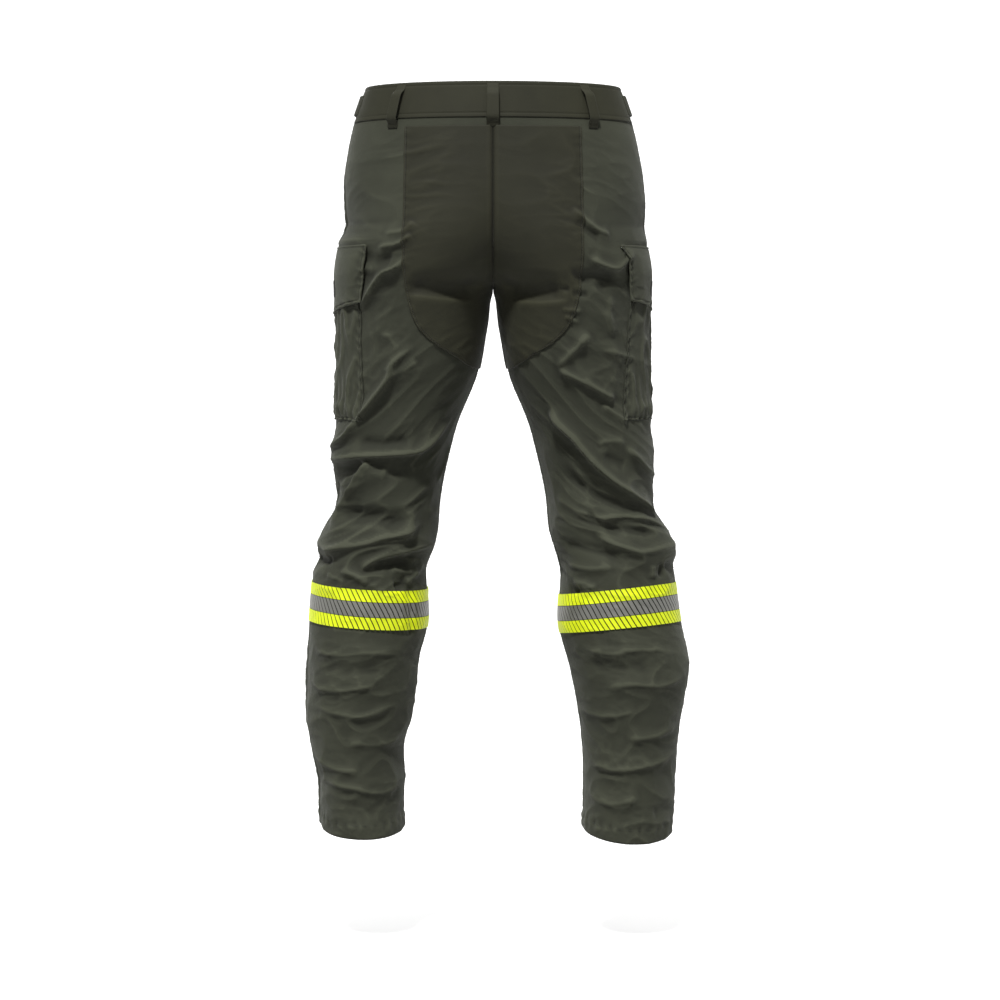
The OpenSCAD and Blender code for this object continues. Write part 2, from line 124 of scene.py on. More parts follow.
# A fold: its crest's points (distance from the centre plane, height) seen from behind, how far it
# stands out (less than 0 is a hollow), its half width above and below, and how far it sags.
FOLDS_LEFT = [
    # seat and upper thigh
    ([(100, -178), (112, -190), (140, -193)], 3, 6, 6, 0),
    ([(102, -194), (118, -206), (148, -211)], 4, 7, 6, 1),
    ([(170, -221), (145, -228), (126, -225)], -5, 8, 8, 0),
    ([(108, -222), (123, -238), (138, -245), (149, -260), (158, -275), (170, -293)], 7, 6, 6, 0),
    ([(168, -246), (150, -252)], -4, 8, 8, 0),
    ([(112, -257), (66, -262), (16, -262)], -7, 13, 13, 0),
    ([(112, -271), (66, -277), (24, -279)], 2.5, 6, 12, 0),
    ([(140, -318), (128, -330), (119, -345)], 2, 7, 7, 0),
    ([(95, -356), (112, -366), (131, -377)], 3, 7, 7, 0),
    # thigh to knee
    ([(101, -335), (124, -355), (132, -377), (151, -406), (168, -428), (183, -449), (202, -463),
      (214, -478)], 10, 9, 8, 3),
    ([(174, -459), (140, -462), (106, -457)], -6, 7, 7, 0),
    ([(222, -484), (195, -479), (158, -474), (137, -473), (101, -469), (80, -454), (52, -428)],
     10, 9, 7, 4),
    ([(206, -492), (182, -490), (164, -487)], -6, 8, 8, 0),
    ([(156, -478), (166, -496), (179, -521), (199, -548), (217, -568)], 11, 5, 16, 0),
    ([(198, -512), (206, -535)], -5, 6, 6, 0),
    ([(56, -460), (64, -490), (73, -512)], 4, 5, 5, 0),
    ([(104, -492), (122, -500), (140, -497)], -2.5, 9, 12, 0),
    # knee
    ([(194, -550), (165, -556), (140, -560), (112, -568)], -10, 13, 10, 0),
    ([(234, -592), (210, -593), (185, -589), (158, -583), (140, -576), (116, -572), (92, -564)],
     10, 9, 14, 6),
    ([(236, -614), (221, -613), (206, -608)], -8, 6, 6, 0),
    ([(172, -627), (158, -611), (137, -603), (110, -596), (76, -592)], 6, 9, 6, 4),
    ([(154, -614), (130, -614), (102, -609)], -6, 6, 7, 0),
    ([(196, -624), (176, -631), (160, -644)], 4, 7, 6, 1),
    ([(132, -620), (118, -626), (104, -628)], 3, 6, 6, 1),
    ([(128, -648), (112, -641)], -5, 7, 7, 0),
    ([(90, -620), (104, -632), (114, -642)], 4, 6, 6, 1),
    ([(214, -629), (188, -640)], 2.5, 6, 6, 0),
    ([(111, -640), (107, -680), (105, -716)], -4, 6, 6, 0),
    # lower leg
    ([(238, -724), (205, -732), (160, -729), (120, -734)], 3, 10, 8, 2),
    ([(220, -745), (185, -752), (140, -750)], -3, 8, 8, 0),
    ([(242, -770), (215, -778), (180, -776), (150, -770)], 3.5, 9, 7, 2),
    ([(130, -800), (165, -812), (200, -808), (232, -800)], 3, 9, 7, 2),
    ([(120, -842), (150, -850), (190, -846)], 2.5, 9, 9, 1),
    ([(235, -868), (205, -880), (170, -884)], 3.5, 8, 7, 2),
    ([(122, -905), (150, -912), (185, -904), (226, -896)], 3, 9, 7, 2),
    ([(196, -930), (160, -936), (128, -928)], -2.5, 8, 8, 0)]

FOLDS_RIGHT = [
    # seat and upper thigh
    ([(100, -160), (117, -177), (134, -189), (150, -194)], 4.5, 6, 8, 1),
    ([(104, -176), (120, -190), (136, -198)], -3, 5, 7, 0),
    ([(122, -223), (134, -231), (153, -236), (166, -226), (176, -214)], 6, 10, 6, 3),
    ([(98, -248), (126, -248), (154, -245)], -7, 7, 9, 0),
    ([(156, -242), (140, -255), (130, -264)], -4, 7, 7, 0),
    ([(16, -262), (50, -265), (92, -262)], -7, 12, 12, 0),
    ([(84, -264), (98, -264)], -3, 3, 3, 0),
    ([(100, -271), (122, -271)], -2.5, 4, 4, 0),
    ([(22, -279), (60, -282), (100, -279)], 2.5, 6, 10, 0),
    ([(87, -290), (114, -293)], 2.4, 4, 4, 0),
    ([(90, -299), (110, -307)], 2.2, 4, 4, 0),
    ([(124, -320), (103, -343), (82, -365)], 6, 8, 8, 1),
    ([(82, -365), (103, -375), (137, -394), (156, -406)], 6, 10, 8, 2),
    ([(134, -340), (168, -348), (189, -358), (204, -374)], 4, 8, 8, 1),
    ([(150, -270), (146, -300), (152, -326)], 3, 9, 9, 0),
    # thigh to knee
    ([(72, -418), (82, -428), (106, -452), (117, -467), (137, -492), (162, -515), (190, -536),
      (205, -549), (216, -564)], 11, 9, 8, 4),
    ([(137, -410), (156, -424), (170, -434)], 4, 8, 8, 1),
    ([(168, -466), (185, -483), (202, -500), (214, -514)], 6, 8, 7, 2),
    ([(132, -463), (150, -458), (168, -461)], 2.5, 6, 6, 0),
    ([(140, -478), (156, -483), (170, -491)], -3, 7, 7, 0),
    ([(78, -496), (120, -519), (138, -532), (160, -542), (192, -561)], -9, 12, 12, 0),
    ([(82, -530), (104, -545), (128, -556)], 3, 10, 10, 0),
    # knee
    ([(128, -558), (162, -552), (194, -556), (219, -569), (238, -590)], 8, 9, 8, 4),
    ([(140, -569), (172, -572), (206, -580)], -4.5, 8, 7, 0),
    ([(130, -577), (150, -586), (169, -594), (188, -599), (212, -595), (237, -590)], 7, 7, 12, 2),
    ([(84, -588), (124, -596), (166, -606)], -6, 7, 7, 0),
    ([(96, -618), (124, -622), (156, -620)], 4, 9, 8, 1),
    ([(240, -618), (216, -619)], -5, 6, 6, 0),
    ([(214, -616), (217, -636)], -5.5, 4, 4, 0),
    ([(204, -618), (206, -636)], 3, 5, 5, 0),
    ([(104, -643), (120, -641), (134, -649)], 3.5, 6, 6, 1),
    ([(98, -652), (114, -651)], -4, 6, 6, 0),
    ([(84, -626), (96, -634)], -4, 6, 6, 0),
    # lower leg
    ([(110, -722), (150, -730), (190, -724), (236, -730)], 3, 9, 8, 2),
    ([(120, -746), (165, -752), (205, -746)], -3, 8, 8, 0),
    ([(248, -762), (216, -772), (180, -770), (140, -776)], 3.5, 9, 7, 2),
    ([(112, -806), (150, -812), (185, -804)], 3, 9, 7, 2),
    ([(240, -826), (210, -838), (170, -842)], 3, 9, 8, 2),
    ([(124, -872), (160, -882), (200, -876), (232, -866)], 3.5, 9, 7, 2),
    ([(190, -918), (155, -926), (126, -918)], 3, 9, 8, 2),
    ([(232, -934), (205, -942)], -2.5, 8, 8, 0)]

# The front's folds, seen from the front, the same way. They run from the crotch to the hips, gather
# above and below the knee patch, and break over the instep.
FOLDS_FRONT = [
    ([(24, -250), (62, -236), (104, -214), (140, -196)], 4, 8, 8, 1),
    ([(30, -272), (72, -262), (118, -240), (160, -216)], 5, 9, 8, 2),
    ([(36, -296), (84, -292), (130, -276)], 3.5, 9, 8, 1),
    ([(52, -332), (98, -336), (150, -322), (188, -304)], 3, 12, 10, 1),
    ([(60, -400), (96, -416), (140, -420), (184, -404)], 4, 10, 8, 2),
    ([(62, -436), (90, -442), (122, -440)], -3, 8, 8, 0),
    ([(206, -446), (190, -462), (182, -486)], 4, 8, 8, 1),
    ([(212, -590), (196, -612), (192, -636)], 4, 8, 8, 1),
    ([(80, -600), (96, -622), (102, -640)], 4, 8, 8, 1),
    ([(100, -728), (150, -740), (205, -732), (236, -720)], 4, 10, 8, 3),
    ([(236, -772), (190, -784), (140, -780), (112, -770)], 4, 10, 8, 3),
    ([(118, -830), (165, -842), (214, -832)], 4, 10, 8, 3),
    ([(228, -884), (190, -898), (150, -894), (122, -882)], 5, 10, 8, 4),
    ([(126, -928), (165, -940), (210, -930)], 5, 9, 8, 4)]

# How far each leg's outer edge stands off the even form: height, distance
OUTER_EDGE = {
    "left": [(0, 0), (-120, -2), (-178, -10), (-190, -5), (-200, 3), (-330, 4), (-405, 4), (-430, 9),
             (-452, 6), (-491, 3), (-520, 0), (-550, -9), (-570, -5), (-590, 0), (-612, -6),
             (-629, 1), (-660, -1), (-700, -2), (-746, -8), (-762, -9), (-786, -7), (-804, -2),
             (-825, 0), (-864, -2), (-904, -9), (-943, -6), (-990, -4)],
    "right": [(0, 0), (-150, 0), (-182, -3), (-200, 2), (-330, 3), (-405, 4), (-432, 10), (-452, 6),
              (-500, 3), (-530, 5), (-552, -3), (-570, 1), (-590, 9), (-608, 9), (-628, 2),
              (-668, 3), (-707, 7), (-746, 8), (-786, 2), (-825, 0), (-904, 3), (-943, 5),
              (-990, 3)]}
# The same for its inner edge, from the knee down
INNER_EDGE = {
    "left": [(-560, 0), (-598, 2), (-628, -3), (-650, 0), (-700, 0), (-735, -1), (-762, 5),
             (-783, 7), (-804, 8), (-825, 7), (-846, 1), (-857, -1), (-878, 1), (-899, 4),
             (-919, 1), (-940, 0)],
    "right": [(-700, 0), (-940, 0)]}

# The rear edges of the cargo pocket and its flap: height, distance from the centre plane. Their
# front edge has one place round the leg.
POCKET_REAR = {"left": [(-225, 169), (-280, 169), (-295, 166), (-340, 165.5), (-440, 162)],
               "right": [(-225, 177), (-280, 176), (-295, 172), (-345, 168), (-440, 163)]}
FLAP_REAR = {"left": [(-209, 158.5), (-224, 160.5), (-245, 162), (-290, 163.4)],
             "right": [(-209, 160), (-224, 168), (-245, 170), (-290, 171.6)]}
FRONT_EDGE = -52
POCKET_TOP, POCKET_BOTTOM, FLAP_TOP = -223, -432, -208
FLAP_BOTTOM = {"left": -289.5, "right": -284}
# How far the pocket's bottom falls towards the front, and how far the flap's rises to the rear
POCKET_DROP = {"left": 2, "right": 6}
FLAP_LIFT = {"left": 16, "right": 13}


def along(outline, z):
    """A table's value at each height."""
    heights, values = np.array(outline, float).T
    return np.interp(-z, -heights, values)


def rear_edge(outline, z):
    """The place round the back of the leg that lies as far from the centre plane as the table
    says."""
    mx, _, a, _ = section(z)
    return np.arccos(np.clip((along(outline, z) - mx) / a, -1, 1)) / reach(mx, a) * 180


def curve_through(points, steps=7):
    """A smooth curve through the points (Catmull-Rom)."""
    p = np.array(points, float)
    p = np.vstack([2 * p[0] - p[1], p, 2 * p[-1] - p[-2]])
    u = np.linspace(0, 1, steps, endpoint=False)[:, None]
    out = []
    for a, b, c, d in zip(p, p[1:], p[2:], p[3:]):
        out.append(0.5 * (2 * b + (c - a) * u + (2 * a - 5 * b + 4 * c - d) * u**2
                          + (3 * b - a - 3 * c + d) * u**3))
    return np.vstack(out + [p[-2:-1]])


def lattice(x, y, seed):
    """Smooth noise between about -0.7 and 0.7 (gradients on a square lattice)."""
    ix, iy = np.floor(x), np.floor(y)
    fx, fy = x - ix, y - iy

    def corner(dx, dy):
        h = np.sin((ix + dx) * 127.1 + (iy + dy) * 311.7 + seed * 74.7) * 43758.5453
        turn = (h - np.floor(h)) * 2 * math.pi
        return np.cos(turn) * (fx - dx) + np.sin(turn) * (fy - dy)

    sx = fx**3 * (fx * (fx * 6 - 15) + 10)
    sy = fy**3 * (fy * (fy * 6 - 15) + 10)
    top = corner(0, 0) * (1 - sx) + corner(1, 0) * sx
    low = corner(0, 1) * (1 - sx) + corner(1, 1) * sx
    return top * (1 - sy) + low * sy


def fold_lines(side):
    """Each fold's crest in unrolled distances, with its sizes."""
    back = FOLDS_LEFT if side == "left" else FOLDS_RIGHT
    lines = []
    for folds, front in ((back, False), (FOLDS_FRONT, True)):
        for points, height, above, below, sag in folds:
            height = height * (RIDGE if height > 0 else 1.0)
            p = curve_through(points)
            u = unrolled(p[:, 0], p[:, 1])
            if front:
                _, _, a, b = section(p[:, 1])
                u = math.pi * (a + b) / 2 - u
                height = height * (RIGHT_FRONT if side == "right" else 1.0)
            lines.append((np.column_stack([u, p[:, 1]]), height, above * ABOVE, below * BELOW, sag))
    return lines


LINES = {side: fold_lines(side) for side in SIDES}


def fold_field(side, u, z):
    """How far the folds push the cloth out, and how far down."""
    out, hollow, down = np.zeros(u.shape), np.zeros(u.shape), np.zeros(u.shape)
    for line, height, above, below, sag in LINES[side]:
        margin = 4.2 * max(above, below)
        low, high = line.min(0) - margin, line.max(0) + margin
        near = (u > low[0]) & (u < high[0]) & (z > low[1]) & (z < high[1])
        if not near.any():
            continue
        # the nearest point of the crest's line
        q = np.column_stack([u[near], z[near]])
        a, step = line[:-1], line[1:] - line[:-1]
        t = np.clip(((q[:, None] - a) * step).sum(2) / (step**2).sum(1), 0, 1)
        gap = q[:, None] - (a + t[..., None] * step)
        dist = np.hypot(gap[..., 0], gap[..., 1])
        k, row = dist.argmin(1), np.arange(len(q))
        share = (k + t[row, k]) / len(step)
        x = dist[row, k] / np.where(gap[row, k, 1] > 0, above, below)
        ends = smooth(np.minimum(share, 1 - share) / 0.22 + 0.08)
        if height > 0:
            crest = np.exp(-1.5 * (np.sqrt(x * x + 0.012) - 0.11))
            shape = crest * (1 - smooth((x - 1.2) / 3.0))
            out[near] += (height * shape * ends) ** 2
        else:
            shape = np.exp(-x * x) * (1 - smooth((x - 1.8) / 1.2))
            hollow[near] += (height * shape * ends) ** 2
        down[near] += sag * shape * ends
    # where folds meet, the higher one rules, so their crests stay crisp
    return np.sqrt(out) - np.sqrt(hollow), down


def creases(x, y, seed, sharp):
    """Noise drawn into ridges: 1 along a ridge, falling away on both sides."""
    return np.clip(1 - np.abs(lattice(x, y, seed)) * sharp, -0.1, 1) ** 2


def crumpling(side, angle, u, z):
    """The cloth's smaller shapes: slow swells, creases of three sizes along the way the cloth is
    drawn, from the crotch to the outer knee and level below it, and crumpling with no set
    direction. The swells and creases are quieter over the smooth seat."""
    seed = 3 if side == "left" else 11
    sway = 14 * lattice(u / 90, z / 110, seed + 5)
    swell = 2.6 * lattice(u / 75, z / 62, seed)
    lean = z + (0.12 + 0.7 * groove(z + 400, 120)) * u + sway
    patchy = smooth(lattice(u / 70, z / 50, seed + 3) * 1.4 + 0.5)
    small = (3.0 * creases(u / 74, lean / 40, seed + 4, 2.4)
             + 1.7 * creases(u / 58 + 0.3, lean / 16, seed + 1, 3.0) * patchy
             + 0.5 * creases(u / 24, (lean + 0.3 * u) / 8, seed + 2, 3.2) * patchy)
    behind = smooth(np.sin(angle) * 1.6)
    seat = smooth((z - SEAT_END) / 50) * behind * smooth((95 - np.abs(u + 70)) / 40 + 0.6)
    busy = (0.55 + 0.75 * groove(z - KNEE, 95)
            - 0.25 * smooth((LOWER_LEG - z) / 40)) * (1 - 0.75 * seat)
    # crumpling lies over the outer thigh and the lower leg
    drift = 26 * lattice(u / 60, z / 70, seed + 6)
    where = (0.7 * groove(z - SEAT_END, 75) * smooth((u + 10) / 30)
             + 0.9 * smooth((LOWER_LEG - 6 - z) / 30))
    crumple = where * (2.2 * creases((u + drift) / 52, (z - drift) / 34, seed + 7, 2.4)
                       + 0.7 * patchy * creases((u - drift) / 24, (z + drift) / 13, seed + 8, 2.8))
    # small shapes flatten where they run out over the leg's sides
    sides = np.abs(np.cos(angle)) ** 4
    return busy * (swell + small * (1 - 0.75 * sides)) + crumple * (1 - 0.5 * sides)


def freedom(around, z):
    """1 where the cloth is free. Seams and the waistband hold it, and the closure lies flat."""
    free = 1 - 0.55 * smooth(1 - np.abs(180 - np.abs(around)) / 9)
    free = free * (1 - 0.35 * groove(around, 4.5))
    free = free * smooth((-46 - z) / 45)
    return free * (1 - smooth((-around - 146) / 12) * smooth((z + 215) / 22))


def relief(side, around, z):
    """All that shapes the cloth over the even form: outwards and downwards, in millimetres."""
    mx, _, a, b = section(z)
    r = (a + b) / 2
    angle = around / 180 * reach(mx, a)
    u = (math.pi / 2 - angle) * r
    out, down = fold_field(side, u, z)
    legs = smooth((CROTCH + 6 - z) / 12)
    for shift in (-2 * math.pi * r, 2 * math.pi * r):
        o, d = fold_field(side, u + shift, z)
        out, down = out + o * legs, down + d * legs
    out = out * (1 - 0.55 * np.abs(np.cos(angle)) ** 4) + crumpling(side, angle, u, z)
    # the pocket's own layers hold the cloth flat under it
    pocket = (smooth((around - FRONT_EDGE + 6) / 10)
              * smooth((rear_edge(POCKET_REAR[side], z) + 3 - around) / 12)
              * smooth((-198 - z) / 14) * smooth((z - POCKET_BOTTOM + 8) / 14))
    out = out * (1 - 0.55 * pocket)
    for outline, share in ((OUTER_EDGE, np.cos(angle)), (INNER_EDGE, -np.cos(angle))):
        out = out + along(outline[side], z) * np.clip(share, 0, 1) ** 2
    free = freedom(around, z)
    return out * free, down * free


def surface(side, around, z, off=0.0, still=0.0):
    """Points of the cloth at these places, off standing outwards. still damps the folds, 1 being
    none."""
    around, z, off = np.broadcast_arrays(np.asarray(around, float), np.asarray(z, float),
                                         np.asarray(off, float))
    mx, my, a, b = section(z)
    angle = around / 180 * reach(mx, a)
    out, down = relief(side, around, z)
    out = out * (1 - still) + off
    down = down * (1 - still)
    nx, ny = np.cos(angle) / a, np.sin(angle) / b
    x = mx + a * np.cos(angle)
    near_centre = smooth(1 - x / 22) * smooth((z - CROTCH + 14) / 20)
    nx = nx * (1 - near_centre)
    size = np.hypot(nx, ny)
    return np.stack([(x + nx / size * out) * SIDES[side], my + b * np.sin(angle) + ny / size * out,
                     z - down], -1)


# ---------------------------------------------------------------- mesh helpers

def steps_between(lo, hi, step, fine=0.0, fine_step=0.7):
    """Places from lo to hi, closer together over a stretch at both ends."""
    if fine <= 0:
        return np.linspace(lo, hi, max(2, int(round(abs(hi - lo) / step)) + 1))
    sign = 1 if hi > lo else -1
    length = abs(hi - lo)
    ends = np.arange(0, fine + 1e-6, fine_step)
    middle = np.linspace(fine, length - fine, max(2, int(round((length - 2 * fine) / step))))[1:-1]
    return lo + sign * np.concatenate([ends, middle, (length - ends)[::-1]])


def grid_faces(n, m, flip=False, start=0, wrap=False):
    """Faces between n rows of m points. flip turns them over, and wrap joins the last column to
    the first."""
    k = np.arange(n * m).reshape(n, m) + start
    if wrap:
        k = np.hstack([k, k[:, :1]])
    quads = np.stack([k[:-1, :-1], k[1:, :-1], k[1:, 1:], k[:-1, 1:]], -1).reshape(-1, 4)
    return quads[:, ::-1] if flip else quads


def make_mesh(name, points, quads, uv=None, shade=None, soft=True):
    """An object from points in millimetres. uv is in millimetres too, and shade, from -1 in the
    hollows to 1 on the crests, drives the cloth's painted light: painted shade in the hollows and a
    painted highlight on the crests, partly crest wear."""
    mesh = bpy.data.meshes.new(name)
    points = np.asarray(points, float).reshape(-1, 3)
    mesh.from_pydata((points / 1000).tolist(), [], [list(map(int, q)) for q in quads])
    if uv is not None:
        layer = mesh.uv_layers.new(name="cloth")
        loops = np.zeros(len(mesh.loops), int)
        mesh.loops.foreach_get("vertex_index", loops)
        layer.data.foreach_set("uv", (np.asarray(uv, float).reshape(-1, 2)[loops] / 1000).ravel())
    painted_light_and_rub_layer = mesh.attributes.new("painted_light_and_wear", "FLOAT", "POINT")
    value = np.zeros(len(points)) if shade is None else np.asarray(shade, float).ravel()
    painted_light_and_rub_layer.data.foreach_set("value", value.astype(np.float32))
    mesh.polygons.foreach_set("use_smooth", [soft] * len(mesh.polygons))
    mesh.update()
    obj = bpy.data.objects.new(name, mesh)
    bpy.context.scene.collection.objects.link(obj)
    return obj


def thicken(obj, thickness=THICK):
    """Gives a sheet its thickness, inwards, with its edges closed."""
    mod = obj.modifiers.new("thickness", "SOLIDIFY")
    mod.thickness = thickness / 1000
    mod.offset = -1
    mod.use_even_offset = False
    return obj

def crests(height, window_rows=7, window_cols=9):
    """1 on sharp crests and -1 in sharp creases: how far each place stands over the mean round it."""
    mean = height
    for window in (window_rows, window_cols):
        # each pass averages down the grid and turns it, so the second one goes across
        padded = np.pad(mean, [(window // 2, window // 2), (0, 0)], mode="edge")
        total = np.vstack([padded[:1] * 0, np.cumsum(padded, axis=0)])
        mean = ((total[window:] - total[:-window]) / window).T
    return np.clip((height - mean) / 0.9, -1, 1)


def arc(around, z):
    """Places round the leg as distances."""
    mx, _, a, b = section(z)
    return around / 180 * reach(mx, a) * (a + b) / 2


def gap_between(first, second, z):
    """How far apart two places round the leg are."""
    return np.abs(arc(first, z) - arc(second, z))


def cloth_grid(name, side, around, z, off=0.0, still=0.0, painted_light_and_wear=0.0, thickness=THICK):
    """A sheet over the leg from grids of places, rows downwards."""
    around, z, off = np.broadcast_arrays(np.asarray(around, float), np.asarray(z, float),
                                         np.asarray(off, float))
    points = surface(side, around, z, off, still)
    out, _ = relief(side, around, z)
    # painted highlight on the crests and painted shade in the hollows, from the relief, plus each
    # piece's own painted light and shade
    shade = 0.35 * np.clip(out / 9, -1, 1) + 0.9 * crests(out * (1 - still) + off) + painted_light_and_wear
    obj = make_mesh(name, points, grid_faces(*around.shape, flip=side == "right"),
                    np.stack([-arc(around, z), z], -1), shade)
    return thicken(obj, thickness)


def rounded(dist, radius=1.2):
    """0 at an edge, rising to 1 as a turned cloth edge does."""
    u = 1 - np.clip(dist / radius, 0, 1)
    return np.sqrt(1 - u * u)


def grid_of(places, heights):
    """Grids of places and heights, with the distances to the nearest side edge and the nearest
    end."""
    around, z = np.meshgrid(places, heights)
    cols = arc(around, z)
    across = np.minimum(cols - cols.min(1, keepdims=True), cols.max(1, keepdims=True) - cols)
    return around, z, across, np.minimum(z - z.min(), z.max() - z)


def stitch_mesh(name, lines, radius=0.33, length=2.5, pitch=3.4):
    """Thread along lines of points, each a list of (points, outward directions): every stitch is a
    short capsule whose ends dip into the cloth."""
    rings = np.array([-0.5, -0.36, 0, 0.36, 0.5])
    sink = np.array([-0.55, 0.12, 0.3, 0.12, -0.55])
    fat = np.array([0.35, 0.95, 1, 0.95, 0.35])
    spokes = 6
    turn = np.arange(spokes) * 2 * math.pi / spokes
    caps = np.array([[0, 1, 2, 3], [0, 3, 4, 5]])
    faces = np.vstack([grid_faces(len(rings), spokes, wrap=True), caps,
                       caps[:, ::-1] + (len(rings) - 1) * spokes])
    points, quads = [], []
    for line in lines:
        line = np.asarray(line, float)
        run = np.concatenate([[0], np.cumsum(np.linalg.norm(np.diff(line[:, :3], axis=0), axis=1))])
        total = run[-1]
        number = max(1, int(total / pitch))
        for k in range(number):
            places = (k + 0.5) * total / number + rings * min(length, total)
            c = np.column_stack([np.interp(places, run, line[:, i]) for i in range(6)])
            direction = c[-1, :3] - c[0, :3]
            direction = direction / max(np.linalg.norm(direction), 1e-9)
            out = c[2, 3:] - direction * (c[2, 3:] @ direction)
            out = out / max(np.linalg.norm(out), 1e-9)
            across = np.cross(direction, out)
            centre = c[:, :3] + sink[:, None] * radius * out
            ring = (np.cos(turn)[None, :, None] * across + np.sin(turn)[None, :, None] * out)
            shell = centre[:, None] + ring * (fat * radius)[:, None, None]
            quads.append(faces + len(points) * len(rings) * spokes)
            points.append(shell.reshape(-1, 3))
    return make_mesh(name, np.vstack(points), np.vstack(quads))


def on_cloth(side, around, z, off, still=0.0):
    """A stitch line on the cloth: its points and its outward directions."""
    around, z = np.broadcast_arrays(np.asarray(around, float), np.asarray(z, float))
    p = surface(side, around, z, off, still)
    return np.hstack([p, surface(side, around, z, off + 1.0, still) - p])


# ---------------------------------------------------------------- materials

def linear(rgb):
    """Screen colour, 0 to 255, as light."""
    c = np.array(rgb, float) / 255
    return tuple(np.where(c <= 0.04045, c / 12.92, ((c + 0.055) / 1.055) ** 2.4)) + (1.0,)


def tone(base, share):
    """A colour made darker or paler."""
    return tuple(min(1.0, c * share) for c in base[:3]) + (1,)


class Nodes:
    """Short calls for building one material."""

    def __init__(self, name):
        self.mat = bpy.data.materials.new(name)
        self.mat.use_nodes = True
        self.tree = self.mat.node_tree
        self.shader = self.tree.nodes["Principled BSDF"]

    def add(self, kind, **values):
        node = self.tree.nodes.new(kind)
        for key, value in values.items():
            setattr(node, key, value)
        return node

    def link(self, a, b):
        self.tree.links.new(a, b)

    def put(self, node, **values):
        for key, value in values.items():
            node.inputs[key.replace("_", " ")].default_value = value
        return node

    def join(self, node, *pairs):
        """Gives inputs a value or another node's output."""
        for i, v in pairs:
            if isinstance(v, (int, float, tuple)):
                node.inputs[i].default_value = v
            else:
                self.link(v, node.inputs[i])
        return node

    def maths(self, operation, a, b):
        return self.join(self.add("ShaderNodeMath", operation=operation), (0, a), (1, b)).outputs[0]

    def mix(self, share, a, b):
        node = self.add("ShaderNodeMix", data_type="RGBA", blend_type="MIX")
        return self.join(node, (0, share), (6, a), (7, b)).outputs[2]

    def ramp(self, value, low, high):
        """Goes evenly from one (value, result) to another."""
        node = self.add("ShaderNodeValToRGB")
        for element, (position, result) in zip(node.color_ramp.elements, (low, high)):
            element.position = position
            element.color = (result, result, result, 1)
        self.link(value, node.inputs[0])
        return node.outputs[0]

    def noise(self, vector, scale, detail=2.0):
        node = self.put(self.add("ShaderNodeTexNoise"), Scale=scale, Detail=detail)
        self.link(vector, node.inputs["Vector"])
        return node.outputs["Fac"]

    def finish(self, colour, rough, height, strength, distance):
        """Joins the colour, the roughness and the bump to the shader."""
        self.link(colour, self.shader.inputs["Base Color"])
        self.link(rough, self.shader.inputs["Roughness"])
        bump = self.put(self.add("ShaderNodeBump"), Strength=strength, Distance=distance)
        self.link(height, bump.inputs["Height"])
        self.link(bump.outputs[0], self.shader.inputs["Normal"])
        return self.mat


def cloth_material(name, rgb, thread=0.75, rough=0.82, sheen=0.25, grain=1.0):
    """Woven cloth: a twill weave at its real pitch in millimetres, colour that varies slowly, and
    painted light from the mesh's attribute: a painted highlight on crests, partly crest wear, and
    painted shade in hollows."""
    n = Nodes(name)
    base = linear(rgb)
    uv = n.add("ShaderNodeTexCoord")
    place, where = uv.outputs["UV"], uv.outputs["Object"]
    heights = []
    for turn in (0.0, math.pi / 2):
        to = n.put(n.add("ShaderNodeMapping"), Rotation=(0, 0, turn + math.radians(28)))
        n.link(place, to.inputs["Vector"])
        wave = n.put(n.add("ShaderNodeTexWave"), Scale=314 / thread, Distortion=0.6, Detail=1.0,
                     Detail_Scale=2.0)
        n.link(to.outputs[0], wave.inputs["Vector"])
        heights.append(wave.outputs["Fac"])
    weave = n.maths("MAXIMUM", n.maths("MULTIPLY", heights[0], 0.9), heights[1])
    slow, mottled = n.noise(where, 7.0, 3.0), n.noise(where, 55.0, 4.0)
    slub = n.noise(place, 900.0)
    painted_light_and_wear = n.add("ShaderNodeAttribute", attribute_name="painted_light_and_wear").outputs["Fac"]
    painted_shade_and_dark_ground = n.maths("MULTIPLY", painted_light_and_wear, -1.0)
    colour = n.mix(n.ramp(slow, (0.3, 0.0), (0.7, 1.0)), tone(base, 0.80), tone(base, 1.22))
    # the last two rows paint light: paler where the attribute is above 0, a painted highlight on
    # crests and other painted light, and darker where it is below 0, painted shade
    for source, low, high, most, share in (
            (mottled, (0.35, 0.0), (0.75, 1.0), 0.25, 1.22),
            (weave, (0.1, 1.0), (0.9, 0.0), 0.30, 0.5),
            (painted_light_and_wear, (0.3, 0.0), (1.0, 1.0), 0.5, 1.9),
            (painted_shade_and_dark_ground, (0.1, 0.0), (1.0, 1.0), 0.7, 0.45)):
        colour = n.mix(n.maths("MULTIPLY", n.ramp(source, low, high), most), colour,
                       tone(base, share))
    n.put(n.shader, Sheen_Weight=sheen, Sheen_Roughness=0.45, Sheen_Tint=(0.8, 0.82, 0.75, 1),
          Specular_IOR_Level=0.25)
    height = n.maths("ADD", n.maths("MULTIPLY", weave, 0.7), n.maths("MULTIPLY", slub, 0.6))
    height = n.maths("ADD", height, n.maths("MULTIPLY", mottled, 2.0))
    return n.finish(colour, n.maths("ADD", n.maths("MULTIPLY", slub, 0.12), rough - 0.06), height,
                    0.55 * grain, 0.00025)


def grained(name, rgb, slow_scale, scale, detail, dark, share, pale):
    """A material's start: slow stains, fine grain, and the colour that both give."""
    n = Nodes(name)
    base = linear(rgb)
    where = n.add("ShaderNodeTexCoord").outputs["Object"]
    slow, grain = n.noise(where, slow_scale, 3.0), n.noise(where, scale, detail)
    colour = n.mix(n.ramp(slow, (0.3, 0.0), (0.7, 1.0)), tone(base, dark), base)
    colour = n.mix(n.maths("MULTIPLY", grain, share), colour, tone(base, pale))
    return n, slow, grain, colour


